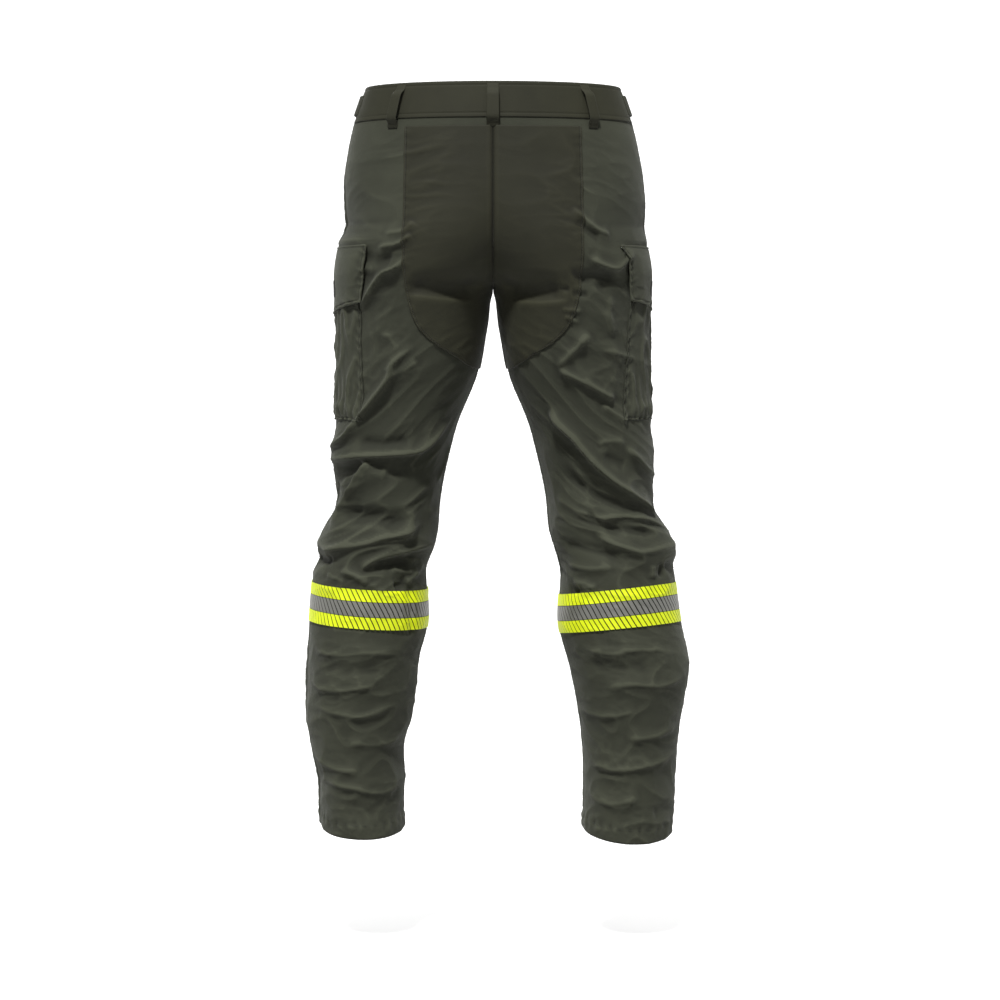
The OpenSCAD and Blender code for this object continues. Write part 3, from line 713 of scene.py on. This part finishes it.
def film_material(name, rgb, metallic, rough, glass, painted_glow=0.0):
    """Heat-pressed film over cloth: the weave shows through faintly, and fine glass grain. The
    emission is a painted glow, a fixed brightness that stands for what a fluorescent film gives back."""
    n, slow, grain, colour = grained(name, rgb, 60.0, 2600.0, 1.0, 0.86, glass, 1.35)
    n.put(n.shader, Metallic=metallic, Specular_IOR_Level=0.4, Emission_Color=linear(rgb),
          Emission_Strength=painted_glow)
    return n.finish(colour, n.maths("ADD", n.maths("MULTIPLY", slow, 0.2), rough - 0.1),
                    n.maths("ADD", grain, n.maths("MULTIPLY", slow, 3.0)), 0.35, 0.0002)


def rough_material(name, rgb, scale, rough, depth, metallic=0.0, scratches=0.0):
    """Metal, hook and loop tape, foam or thread: grain of one size, and fine scratches on metal."""
    n, _, grain, colour = grained(name, rgb, scale / 12, scale, 2.0, 0.72, 0.5, 1.5)
    n.put(n.shader, Metallic=metallic)
    return n.finish(colour, n.maths("ADD", n.maths("MULTIPLY", grain, 0.2 + scratches), rough - 0.1),
                    grain, 0.6, depth)


SHELL = cloth_material("shell cloth", (62, 64, 52), sheen=0.12)
# darker and browner than the shell cloth: partly its own colour, partly painted shade standing for a
# jacket's shadow over the seat
PATCH = cloth_material("reinforcement cloth", (47, 47, 34), thread=1.1, rough=0.75, sheen=0.06,
                       grain=0.8)
# its emission is a painted glow that brightens the yellow film
YELLOW = film_material("yellow film", (230, 246, 24), 0.0, 0.5, 0.12, painted_glow=0.22)
SILVER = film_material("silver film", (128, 128, 122), 0.35, 0.42, 0.35)
THREAD = rough_material("thread", (74, 75, 63), 1500.0, 0.6, 0.0001)
THREAD_DARK = rough_material("dark thread", (40, 41, 33), 1500.0, 0.6, 0.0001)
BRASS = rough_material("brass fittings", (150, 128, 82), 700.0, 0.34, 0.00005, 1.0, 0.15)
HOOKS = rough_material("hook and loop", (34, 35, 31), 1300.0, 0.9, 0.0006)
TAPE = cloth_material("zip tape", (30, 31, 28), thread=0.6, rough=0.85, sheen=0.1)
FOAM = rough_material("pad foam", (36, 36, 36), 900.0, 0.95, 0.0004)


def finish_piece(obj, material, body=None, bend=None, stands_for=()):
    """Gives a piece its material, hides the CAD nodes it stands for, and hangs it on the body it
    moves with. A piece given a bend only has its transform baked into its mesh; the bend's
    bodies and places are not used."""
    obj.data.materials.append(material)
    if stands_for:
        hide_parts(*stands_for)
    if bend:
        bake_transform(obj)
    else:
        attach(obj, body)
    return obj


def knee_bend(side):
    """What a piece that crosses the knee turns between."""
    x = SIDES[side] * BEND_X
    return "trousers", f"{side}_lower_leg", (x, 0, BEND_TOP), (x, 0, BEND_BOTTOM)


# ---------------------------------------------------------------- shell panels

# How far the stitching lies from its edge: the hem, the felled seams' two rows, the seat patch, the
# knee patch, the cargo pocket
HEM_STITCH, LAP_STITCHES, SEAT_STITCH, KNEE_STITCH, POCKET_STITCH = 18.5, (1.6, 6.2), 3.4, 3, 3.6


def hem_height(side, around):
    """The hem hangs lowest behind and rides up over the instep."""
    out, back = np.cos(np.radians(around)), np.sin(np.radians(around))
    if side == "left":
        return -962 - 12 * back + 2 * out
    return -968 - 12 * back - 4 * out


def panel_rows(side, around, count=440):
    """Heights of a long panel's rows, even above and drawn to the hem line below."""
    top, bottom = BAND_BOTTOM + 1.5, HEM + 17.5
    v = np.linspace(0, 1, count)[:, None]
    drawn = smooth((v - 0.8) / 0.2) * (hem_height(side, around) - bottom)
    return top + v * (bottom - top) + drawn


def hem_roll(side, around, z):
    """The hem's turned-up layer: thicker below its stitching, drawn in at the stitching, and
    rounded at the edge."""
    up, place = z - hem_height(side, around), arc(around, z)
    pucker = 0.5 * np.sin(place / 2.3 + 3 * lattice(place / 17, z / 9, 4))
    return (0.9 * smooth((21 - up) / 1.6) - 0.8 * groove(up - HEM_STITCH, 1.6)
            + pucker * groove(up - 17, 9) - 1.2 * (1 - rounded(up, 1.6)))


def band_top(side, around):
    """The height of the bands' upper edge."""
    out, back = np.cos(np.radians(around)), np.sin(np.radians(around))
    if side == "left":
        return -646.9 + 4.9 * out - 2.8 * back
    return -652.0 + 8.0 * out + 3.2 * back


def side_lap(dist):
    """A felled seam: a raised lap beside the seam line, sewn down with two rows."""
    rows = sum(groove(dist - row) for row in LAP_STITCHES)
    return 0.9 * (1 - smooth((dist - 7.6) / 1.0)) - 0.45 * rows - 0.9 * groove(dist, 0.8)


def seam_pucker(dist, z, seed):
    """Small tucks that stitching draws into the cloth beside it."""
    wave = np.sin(z / 2.1 + 3.5 * lattice(z / 19, dist / 30, seed))
    return 0.35 * wave * groove(dist, 9) * smooth(dist / 1.5)


def centre_seam(around, z):
    """The groove down the middle of the seat."""
    mx, _, a, _ = section(z)
    x = mx + a * np.cos(around / 180 * reach(mx, a))
    return -2.2 * groove(x, 2.6) * smooth((z - CROTCH + 10) / 16)


def leg_panel(side, part):
    """One long panel, from the waistband to the hem and from the side seam to the inseam."""
    around = np.concatenate([steps_between(0, 5.6, 0.5), steps_between(5.6, 174.4, 1.55)[1:-1],
                             steps_between(174.4, 180, 0.5)])
    outer, inner = 0.0, 180.0
    if part == "front":
        around, inner = around - 180, -180.0
    z = panel_rows(side, around)
    if part == "front":
        # the hand pocket's mouth, and the stretch left open for the zip
        mouth = -10 * smooth((z - MOUTH_BOTTOM) / 14) * smooth((MOUTH_TOP - z) / 12)
        opening = -180 + 6.5 * smooth((z - OPENING_END) / 7)
        around = opening + (mouth - opening) * ((around + 180) / 180)
        outer = around.max(1, keepdims=True)
    to_side, to_inseam = gap_between(around, outer, z), gap_between(around, inner, z)
    off = hem_roll(side, around, z) + seam_pucker(to_side, z, 2) + seam_pucker(to_inseam, z, 7)
    if part == "back":
        off = (off + side_lap(to_side) + side_lap(to_inseam) * smooth((CROTCH - z) / 6)
               + centre_seam(around, z))
    # painted shade along the seams, and a darker ground under the segmented bands
    under = band_top(side, around) - z
    painted_light_and_wear = (-0.9 * groove(to_side, 1.5) - 0.9 * groove(to_inseam, 1.5)
            - 3.0 * smooth(under / 1.5) * smooth((BAND_HEIGHT - under) / 1.5))
    obj = cloth_grid(f"{side}_{part}_leg_cloth", side, around, z, off, painted_light_and_wear=painted_light_and_wear)
    nodes = [f"{side}_{part}_thigh_panel", f"{side}_{part}_shin_panel"]
    if part == "back":
        nodes.append(f"{side}_back_knee_fold")
    finish_piece(obj, SHELL, bend=knee_bend(side), stands_for=nodes)


for side in SIDES:
    for part in ("back", "front"):
        leg_panel(side, part)

# ---------------------------------------------------------------- seat and knee patches

# The seat patch's outer edge: height, distance from the centre plane
SEAT_EDGE = curve_through([(-56, 113), (-130, 114), (-200, 115), (-250, 114), (-283, 108),
                           (-310, 98), (-330, 80), (-346, 56), (-366, 25)], 12)
# The knee patch's two sides, as places round the leg, and its ends
PATCH_SIDES, PATCH_TOP, PATCH_BOTTOM = (-140, -40), KNEE + 125, KNEE - 64


def seat_patch(side):
    """One half of the reinforcement over the seat, from its outer edge to the inseam."""
    z = steps_between(-56, -365, 2.2)[:, None]
    share = np.concatenate([steps_between(0, 0.07, 0.006), steps_between(0.07, 1, 0.0125)[1:]])
    first = rear_edge(SEAT_EDGE, z)
    around = first + (180 - first) * share
    dist, inseam = gap_between(around, first, z), gap_between(around, 180.0, z)
    off = (2.6 * rounded(dist, 1.3) - 0.7 * groove(dist - SEAT_STITCH) + centre_seam(around, z)
           + side_lap(inseam) * smooth((CROTCH - z) / 6) - 0.4 + seam_pucker(dist, z, 5))
    # painted shade along its outer edge, and a painted shadow of a jacket over the seat: darker
    # above, paler below
    painted_light_and_wear = -1.1 * groove(dist, 1.3) + 0.38 - 0.82 * smooth((z + 290) / 80)
    obj = cloth_grid(f"{side}_seat_patch_cloth", side, around, z, off, painted_light_and_wear=painted_light_and_wear, thickness=1.0)
    finish_piece(obj, PATCH, body="trousers", stands_for=[f"{side}_seat_patch"])


def knee_patch(side):
    """The patch that lies over the knee's foam pad."""
    around, z, across, down = grid_of(steps_between(*PATCH_SIDES, 1.6, 4, 0.5),
                                      steps_between(PATCH_TOP, PATCH_BOTTOM, 2.2, 5, 0.8))
    dist = np.minimum(across, down)
    crown = smooth(across / 34) * smooth(down / 36)
    darts = -2.2 * groove(z - KNEE - 4, 3.2) * smooth(1 - across / 42)
    off = (1.8 * rounded(dist, 1.4) - 0.6 * groove(dist - KNEE_STITCH) + 7.4 * crown + darts
           + seam_pucker(dist, z + around, 9))
    # painted shade along its edges, and paler over the crown
    obj = cloth_grid(f"{side}_knee_patch_cloth", side, around, z, off, still=0.65 * crown,
                     painted_light_and_wear=-0.6 * groove(dist, 1.0) + 0.35 * crown, thickness=1.0)
    finish_piece(obj, PATCH, bend=knee_bend(side), stands_for=[f"{side}_knee_patch"])


def knee_pad(side):
    """The foam pad, with its edges drawn together."""
    around, z, across, down = grid_of(steps_between(-120, -60, 2.5),
                                      steps_between(KNEE + 82, KNEE - 30, 4))
    lens = np.sqrt(smooth(across / 14) * smooth(down / 14))
    faces = [surface(side, around, z, 1.2 + stand * lens, 0.65) for stand in (4.6, -0.2)]
    quads = np.vstack([grid_faces(*z.shape, flip=side == "right"),
                       grid_faces(*z.shape, flip=side == "left", start=z.size)])
    pad = make_mesh(f"{side}_knee_foam", np.stack(faces), quads)
    finish_piece(pad, FOAM, bend=knee_bend(side), stands_for=[f"{side}_knee_pad"])


for side in SIDES:
    seat_patch(side)
    knee_patch(side)
    knee_pad(side)

# ---------------------------------------------------------------- cargo pockets and flaps

# Shares of a pocket's width, closer together at its edges
ACROSS = np.concatenate([steps_between(0, 0.04, 0.004), steps_between(0.04, 0.96, 0.0125)[1:-1],
                         steps_between(0.96, 1, 0.004)])
# Where the flap's hinge lies, and how far down it bends
FLAP_X, FLAP_ROOT, FLAP_FREE = 185, FLAP_TOP - 2, FLAP_TOP - 34


def rows_down(top, bottom, step, fine_step):
    """Heights from top to bottom, closer together over the last 6 mm."""
    return np.concatenate([steps_between(top, bottom + 6, step),
                           steps_between(bottom + 6, bottom, fine_step)[1:]])[:, None]


def from_sides(around, rear, front, z):
    """Distance from the nearer of a pocket's side edges."""
    return np.minimum(arc(rear, z) - arc(around, z), arc(around, z) - arc(front, z))


def front_drop(side, around):
    """How far the pocket's bottom hangs lower towards the front."""
    return POCKET_DROP[side] * smooth((around + 10) / -40)


def pocket_face(side, around, z, across, up):
    """How far the pocket's face stands off the thigh. Its sides are folded, so it lies close at
    its edges and is fullest in the middle."""
    full = smooth(across / 30) * smooth(up / 20) * smooth((POCKET_TOP - POCKET_BOTTOM - up) / 50)
    shift = 0.0 if side == "left" else 1.7
    pleats = (0.8 * np.sin(around * 0.95 + 4 * lattice(around / 30, z / 60, 6) + shift)
              * smooth((90 - up) / 80) * smooth(across / 6))
    drapes = 3.0 * creases(around / 13 + shift, (z + around) / 55, 12, 2.6)
    return 2.2 + 4.3 * full + pleats + drapes * smooth(across / 12) * smooth(up / 12)


def cargo_pocket(side):
    """The pocket's face, which wraps round the outer thigh."""
    rows = rows_down(POCKET_TOP, POCKET_BOTTOM, 2.2, 0.7)
    rear = rear_edge(POCKET_REAR[side], rows)
    around = FRONT_EDGE + (rear - FRONT_EDGE) * ACROSS
    z = rows - front_drop(side, around) * smooth((POCKET_TOP - rows) / 200)
    across, up = from_sides(around, rear, FRONT_EDGE, z), rows - POCKET_BOTTOM
    dist = np.minimum(across, up)
    off = (pocket_face(side, around, z, across, up) * rounded(dist, 1.5)
           - 0.8 * groove(dist - POCKET_STITCH, 1.0)
           + seam_pucker(dist, z + around * 1.5, 8) * 2.2
           + 0.8 * smooth((z - POCKET_TOP + 24) / 1.5))
    # painted shadow along its edges, and paler overall
    obj = cloth_grid(f"{side}_cargo_pocket_cloth", side, around, z, off, still=0.1,
                     painted_light_and_wear=-2.4 * groove(dist, 1.7) + 0.42)
    finish_piece(obj, SHELL, body="trousers", stands_for=[f"{side}_cargo_pocket"])


def cargo_flap(side):
    """The flap hangs from its top seam, clear of the pocket at its lower edge."""
    front, bottom = FRONT_EDGE - 1.5, FLAP_BOTTOM[side]
    rows = rows_down(FLAP_TOP, bottom, 1.8, 0.6)
    v = (FLAP_TOP - rows) / (FLAP_TOP - bottom)
    rear = rear_edge(FLAP_REAR[side], rows)
    around = front + (rear - front) * ACROSS
    # its rear corner hangs higher, and its rear edge keeps to its outline at that height
    z = rows + FLAP_LIFT[side] * v * np.sin(np.clip((around - 20) / 50, -0.55, 1.2))
    rear = rear_edge(FLAP_REAR[side], z[:, -1:])
    around = front + (rear - front) * ACROSS
    across, up = from_sides(around, rear, front, z), rows - bottom
    dist = np.minimum(across, up)
    stand = 3.0 + 1.6 * smooth(v / 0.25) + 4.2 * smooth(across / 30) * smooth(v / 0.5)
    off = (stand + 1.6 * rounded(dist, 1.3) - 0.8 * groove(dist - 4.2, 1.0)
           + 1.3 * groove(up, 12) * smooth(across / 12)
           + seam_pucker(dist, z + around, 3) * 1.7
           - 1.0 * groove(FLAP_TOP - rows - 2.0, 1.2))
    # painted light: the whole flap paler, and a painted highlight along its edges
    obj = cloth_grid(f"{side}_cargo_flap_cloth", side, around, z, off, still=0.45,
                     painted_light_and_wear=0.6 + 0.5 * groove(dist, 1.4), thickness=2.2)
    x = SIDES[side] * FLAP_X
    bend = ("trousers", f"{side}_pocket_flap", (x, 0, FLAP_ROOT), (x, 0, FLAP_FREE))
    finish_piece(obj, SHELL, bend=bend, stands_for=[f"{side}_cargo_flap"])


def grip_patch(side, name, body, places, heights, off, raised, still, thickness):
    """A patch of hook or loop tape."""
    around, z, across, down = grid_of(places, heights)
    off = off + raised * rounded(np.minimum(across, down), 1.0)
    obj = cloth_grid(f"{side}_{name}_strip", side, around, z, off, still, thickness=thickness)
    finish_piece(obj, HOOKS, body=body, stands_for=[f"{side}_{name}_patch"])


for side in SIDES:
    cargo_pocket(side)
    cargo_flap(side)
    for name, off, body in (("flap_hook", 9.8, f"{side}_pocket_flap"),
                            ("pocket_loop", 8.6, "trousers")):
        grip_patch(side, name, body, steps_between(-15, 15, 1.2), steps_between(-250, -273, 1.5), off,
                   0.9, 0.35, 0.8)

# ---------------------------------------------------------------- segmented bands

# Each strip: name, how far below the band's top it starts, its height, its film
STRIPS = (("upper_yellow_strip", 0.0, 15.2, YELLOW), ("silver_strip", 15.9, 18.6, SILVER),
          ("lower_yellow_strip", 35.2, 15.2, YELLOW))
# A tile's pitch, the slit between two tiles, and how far a tile leans for each millimetre down
PITCH, SLIT, LEAN = 7.05, 1.6, 0.555
BAND_MIDDLE, BAND_LENGTH = -675.0, 0.515


def tile_faces(side, rows, cols):
    """One tile's outer face, its inner face and the walls between them."""
    ids = np.arange(rows * cols).reshape(rows, cols)
    ring = np.concatenate([ids[0], ids[1:, -1], ids[-1, -2::-1], ids[-2:0:-1, 0]])
    after = np.roll(ring, -1)
    wall = np.stack([ring, after, after + ids.size, ring + ids.size], -1)
    outer = grid_faces(rows, cols, flip=side == "right")
    return np.vstack([outer, outer[:, ::-1] + ids.size, wall[:, ::-1] if side == "right" else wall])


def band_strip(side, strip, drop, height, film):
    """A row of slanted tiles round the leg. The cloth shows in the slits between them."""
    _, _, a, b = section(BAND_MIDDLE)
    whole = math.pi * (3 * (a + b) - math.sqrt((3 * a + b) * (a + 3 * b)))
    count = int(round(whole / PITCH))
    step = 360 / count
    u, down = np.linspace(0, 1, 4), drop + np.linspace(0, 1, 6)[:, None] * height
    lean = SIDES[side] * LEAN * down / PITCH * step
    faces = tile_faces(side, down.size, u.size)
    points, quads = [], []
    for k in range(count):
        around = (k + u * (1 - SLIT / PITCH)) * step + lean
        around = around % 360 - 180
        if side == "right":
            # its first tile crosses the inseam from behind
            around = np.where(around == -180, 180.0, around)
        z = band_top(side, around) - down
        points += [surface(side, around, z, off, 0.15) for off in (2.3, 1.9)]
        quads.append(faces + 2 * k * around.size)
    obj = make_mesh(f"{side}_{strip}_film", np.stack(points), np.vstack(quads), soft=False)
    finish_piece(obj, film, body=f"{side}_lower_leg", stands_for=[f"{side}_{strip}"])


def hem_facing(side):
    """The hem's inner layer."""
    around = steps_between(-180, 180, 3.0)
    z = hem_height(side, around) + 1.0 + (1 - np.linspace(0, 1, 12)[:, None]) * 21
    obj = cloth_grid(f"{side}_hem_facing_cloth", side, around, z, -2.6, thickness=1.0)
    finish_piece(obj, PATCH, body=f"{side}_lower_leg", stands_for=[f"{side}_hem_facing"])


for side in SIDES:
    for strip in STRIPS:
        band_strip(side, *strip)
    hem_facing(side)

# ---------------------------------------------------------------- waist

WAIST_ROWS = (-4.5, -40.5)


def waist_points(around, z, off):
    """Points round the whole waist: places over 180 go on round the right side."""
    right = around > 180
    place = np.where(right, 360 - around, around)
    return np.where(right[..., None], surface("right", place, z, off), surface("left", place, z, off))


def waist_piece(name, around, profile, node):
    """A piece that runs round the waist with the profile's (z, off) points across it."""
    z, off = np.array(profile, float).T
    run = np.concatenate([[0], np.cumsum(np.hypot(np.diff(z), np.diff(off)))])
    around, z = np.meshgrid(around, z)
    uv = np.stack([arc(around, -20.0), np.broadcast_to(run[:, None], z.shape)], -1)
    obj = make_mesh(name, waist_points(around, z, off[:, None]), grid_faces(*z.shape), uv)
    finish_piece(thicken(obj, 1.0), PATCH, body="trousers", stands_for=[node])


# outer face with a groove at each row of stitching, rolled top edge, inner face
outer_face = [(z, 0.4 - 0.6 * sum(groove(z - row, 1.0) for row in WAIST_ROWS))
              for z in steps_between(-45.5, -1.5, 0.9)]
top_roll = [(-1.5 + 1.5 * math.sin(t), 0.4 - 1.7 + 1.7 * math.cos(t))
            for t in np.linspace(0.2, math.pi - 0.2, 7)]
inner_face = [(z, -3.0) for z in steps_between(-1.5, -45.5, 3)]
waist_piece("waistband_cloth", steps_between(-179.9, 539.9, 1.6),
            outer_face + top_roll + inner_face, "waistband")

LOOP_PROFILE = ([(-2.0, 0.9), (-2.4, 1.8), (-7, 2.0), (-9.5, 4.5), (-12, 7.6), (-15, 9.2)]
                + [(z, 9.4) for z in steps_between(-18, -42, 4)]
                + [(-45, 9.2), (-48, 7.6), (-50.5, 4.5), (-53, 2.0), (-57.6, 1.8), (-58, 0.9)])
LOOP_HALF = 5.2
for name, places in (("left_belt_loops", (-91, 91)), ("right_belt_loops", (269, 451)),
                     ("back_belt_loop", (180,))):
    for k, centre in enumerate(places):
        waist_piece(f"{name}_{k + 1}_cloth",
                    steps_between(centre - LOOP_HALF, centre + LOOP_HALF, 0.8), LOOP_PROFILE, name)


def upright_sheet(name, x, y, z, thickness):
    """A sheet that stands across the front's centre."""
    obj = make_mesh(name, np.stack([x, y, z], -1), grid_faces(*x.shape), np.stack([x, z], -1))
    return thicken(obj, thickness)


def front_flap(name, xs, zs, off, material, root, free, body, node, corner=0.0):
    """A flap over the closure, from x and z in millimetres, +x being the wearer's left."""
    x, z = np.meshgrid(xs, zs)
    if corner:
        # a tip rounded by drawing in the rows near the end
        end = np.clip((xs.min() + corner - x) / corner, 0, 1)
        middle = (zs[0] + zs[-1]) / 2
        z = middle + (z - middle) * np.sqrt(1 - end**2 * 0.75)
    mx, my, a, b = section(z)
    angle = np.arccos(np.clip((np.abs(x) - mx) / a, -1, 1))
    edge = np.minimum(np.minimum(x - x.min(), x.max() - x), np.minimum(z.max() - z, z - z.min()))
    y = my - b * np.sin(angle) - (off + 0.9 * rounded(edge))
    obj = upright_sheet(name, x, y, z, 1.0)
    finish_piece(obj, material, bend=("trousers", body, root, free), stands_for=[node])


front_flap("fly_flap_cloth", steps_between(-24, 25.5, 2, 4, 0.6), steps_between(-47, -189, 3, 4, 0.7),
           1.4, SHELL, (24.5, -120, -115), (12, -120, -115), "fly", "fly_flap")
front_flap("waist_tab_cloth", steps_between(-60, 21, 1.6, 4, 0.6),
           steps_between(-8.2, -37.8, 1.6, 3, 0.6), 3.7, PATCH, (20.6, -120, -23), (9, -120, -23),
           "front_tab", "waist_tab", corner=9.0)


def zip_sheet(name, x0, x1, bottom, y, material, node):
    """The guard or a tape behind the zip."""
    x, z = np.meshgrid(steps_between(x0, x1, 1.5), steps_between(BAND_BOTTOM - 0.2, bottom, 3))
    ripple = 0.25 * np.sin(z / 3.1) * np.abs(x) / 19
    obj = upright_sheet(name, x, y + ripple, z, 0.7)
    finish_piece(obj, material, "trousers", stands_for=[node])


zip_sheet("fly_guard_cloth", -19, 19, -179, -100.8, PATCH, "fly_guard")
zip_sheet("left_zip_tape", 2, 14, -175, -106.2, TAPE, "zip_tapes")
zip_sheet("right_zip_tape", -14, -2, -175, -106.2, TAPE, "zip_tapes")


def side_tab(side):
    """The waist's adjuster tab."""
    around, z, across, down = grid_of(steps_between(-44, 20, 1.2, 3, 0.4),
                                      steps_between(-10, -36, 1.5, 3, 0.6))
    off = 1.4 + 2.6 * smooth((20 - around) / 16) + 0.9 * rounded(np.minimum(across, down))
    obj = cloth_grid(f"{side}_waist_adjuster_cloth", side, around, z, off, thickness=1.2)
    root, free = (SIDES[side] * 152, 62, -23), (SIDES[side] * 158, 45, -23)
    finish_piece(obj, PATCH, bend=("trousers", f"{side}_side_tab", root, free),
                 stands_for=[f"{side}_waist_adjuster"])


def hand_pocket(side):
    """The hand pocket's bag: a front and a back layer joined at their sides and bottom."""
    forth = steps_between(3, -72, 2.5)
    cols = np.concatenate([forth, steps_between(-72, 3, 2.5)[1:]])
    v = np.linspace(0, 1, 60)[:, None]
    spread = np.sin(np.clip(np.abs(cols + 34.5) / 37.5, 0, 1) * math.pi / 2)
    depth = 4.0 * np.sqrt(1 - spread**2) * np.sqrt(1 - v**6)
    off = -5.6 - np.where(np.arange(cols.size) >= forth.size, depth, -0.15 * depth)
    around = cols * (1 - 0.12 * v**4) - 4 * v**4
    obj = cloth_grid(f"{side}_hand_pocket_bag", side, around, MOUTH_TOP - 172 * v, off,
                     thickness=0.5)
    finish_piece(obj, PATCH, body="trousers", stands_for=[f"{side}_hand_pocket"])


for side in SIDES:
    side_tab(side)
    for name, last, off, body, width in (
            ("adjuster_hook", -20, 2.2, f"{side}_side_tab", 0.035),
            ("adjuster_loop", 2, 0.7, "trousers", 0.07)):
        grip_patch(side, name, body, steps_between(-42, last, 1.2), steps_between(-13, -33, 1.5), off,
                   0.8, 0.0, 0.6)
    hand_pocket(side)

# ---------------------------------------------------------------- stitching

def beside(place, distance, z):
    """The place this many millimetres further round the leg."""
    return place + distance / arc(1.0, z)


def leg_stitching(side):
    """The rows that cross the knee: side seam, inseam, hem and knee patch."""
    seam = np.arange(-48, -940, -3.0)
    inseam = seam[seam < CROTCH - 12]
    lines = []
    for inset in LAP_STITCHES:
        lines.append(on_cloth(side, beside(0.0, inset, seam), seam, 0.75))
        lines.append(on_cloth(side, beside(180.0, -inset, inseam), inseam, 0.75))
    around = np.linspace(-180, 180, 180)
    lines.append(on_cloth(side, around, hem_height(side, around) + HEM_STITCH, 0.25))
    top, bottom = PATCH_TOP - KNEE_STITCH, PATCH_BOTTOM + KNEE_STITCH
    z = np.arange(top, bottom, -2.5)
    for place, inset in zip(PATCH_SIDES, (KNEE_STITCH, -KNEE_STITCH)):
        lines.append(on_cloth(side, beside(place, inset, z), z, 1.6))
    around = np.linspace(PATCH_SIDES[0] + 2, PATCH_SIDES[1] - 2, 60)
    lines += [on_cloth(side, around, height, 1.6) for height in (top, bottom)]
    finish_piece(stitch_mesh(f"{side}_leg_stitching", lines), THREAD_DARK, bend=knee_bend(side))


def patch_stitching(side):
    """The rows above the knee: seat patch, cargo pocket, and a bar at each end of the flap."""
    z = np.arange(-60, -352, -2.0)
    lines = [on_cloth(side, beside(rear_edge(SEAT_EDGE, z), SEAT_STITCH, z), z, 1.9)]
    low = POCKET_BOTTOM + POCKET_STITCH
    z = np.arange(POCKET_TOP - 3, low, -2.0)
    for place, inset in ((rear_edge(POCKET_REAR[side], z), -POCKET_STITCH),
                         (FRONT_EDGE, POCKET_STITCH)):
        lines.append(on_cloth(side, beside(place, inset, z), z, 3.05, 0.25))
    corner = float(rear_edge(POCKET_REAR[side], np.array(low)))
    around = np.linspace(FRONT_EDGE + 2.4, corner - 2.4, 70)
    lines.append(on_cloth(side, around, low - front_drop(side, around) * 0.98, 3.05, 0.25))
    top = FLAP_TOP - 3.0
    for place in (rear_edge(FLAP_REAR[side], np.array(top)) - 2, FRONT_EDGE + 2):
        for k in range(7):
            row = np.full(2, top - k * 1.1)
            ends = beside(place, np.array([-1.6, 1.6]), row)
            lines.append(on_cloth(side, ends, row, 4.6, 0.25))
    finish_piece(stitch_mesh(f"{side}_patch_stitching", lines), THREAD_DARK, body="trousers")


for side in SIDES:
    leg_stitching(side)
    patch_stitching(side)

waist_lines = []
around = steps_between(-178.5, 538.5, 1.0)
for row in WAIST_ROWS:
    p = waist_points(around, row, 0.1)
    waist_lines.append(np.hstack([p, waist_points(around, row, 1.1) - p]))
finish_piece(stitch_mesh("waistband_stitching", waist_lines), THREAD, body="trousers")

# ---------------------------------------------------------------- metal, as the CAD has it

for node in ("zip_teeth", "zip_slider", "zip_puller", "waist_snap_cap", "waist_snap_stud"):
    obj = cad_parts[node]
    obj.data.materials.clear()
    obj.data.materials.append(BRASS)

# ---------------------------------------------------------------- stage, in metres

FLOOR, FLOOR_RADIUS, FLAT_RADIUS = -1.111, 6.0, 4.0
CAMERA_AT, CAMERA_DROP, LENS = (-0.009, 4.5, -0.38), 0.157, 123.7
MIDDLE = (0, 0, -0.5)


def placed(name, data):
    """A light or camera, put in the scene."""
    obj = bpy.data.objects.new(name, data)
    bpy.context.scene.collection.objects.link(obj)
    return obj


def area_light(name, where, size, power):
    """A square light that points at the trousers' middle."""
    data = bpy.data.lights.new(name, "AREA")
    data.shape, data.size, data.energy = "SQUARE", size, power
    obj = placed(name, data)
    obj.location = where
    aim = Vector(MIDDLE) - Vector(where)
    obj.rotation_euler = aim.to_track_quat("-Z", "Y").to_euler()
    return obj


def floor(rings=40, spokes=64):
    """A pale sweep that rises behind the far side as well, so that every view has a background."""
    radius = np.linspace(0, FLOOR_RADIUS, rings)[:, None]
    height = FLOOR + np.where(radius > FLAT_RADIUS, (radius - FLAT_RADIUS) ** 2 * 0.5, 0)
    t = 2 * math.pi * np.arange(spokes) / spokes
    points = np.stack([radius * np.cos(t), radius * np.sin(t),
                       np.broadcast_to(height, (rings, spokes))], -1) * 1000
    obj = make_mesh("floor", points, grid_faces(rings, spokes, wrap=True, flip=True))
    n = Nodes("studio floor")
    # part of its brightness is its own, and it throws no light back up under the folds
    n.put(n.shader, Base_Color=(0.8, 0.8, 0.8, 1), Roughness=0.9, Emission_Color=(1, 1, 1, 1),
          Emission_Strength=0.55)
    obj.visible_diffuse = False
    obj.data.materials.append(n.mat)
    return obj


floor()
world = bpy.data.worlds.new("studio")
world.use_nodes = True
sky = world.node_tree.nodes["Background"].inputs
sky["Color"].default_value, sky["Strength"].default_value = (1, 1, 1, 1), 0.18
bpy.context.scene.world = world
bpy.context.scene.view_settings.view_transform = "Standard"

sun = bpy.data.lights.new("key", "SUN")
sun.energy, sun.angle = 3.4, math.radians(6)
key = placed("key", sun)
key.rotation_euler = (math.radians(-34), math.radians(8), 0)
area_light("top", (0, 0.1, 2.4), 1.6, 18)
area_light("front", (0.6, -2.8, 1.6), 1.2, 60)

camera_data = bpy.data.cameras.new("camera")
camera_data.lens = LENS
camera = placed("camera", camera_data)
camera.location = CAMERA_AT
camera.rotation_euler = (math.radians(90) - math.atan2(CAMERA_DROP, CAMERA_AT[1]), 0,
                         math.radians(180))
bpy.context.scene.camera = camera
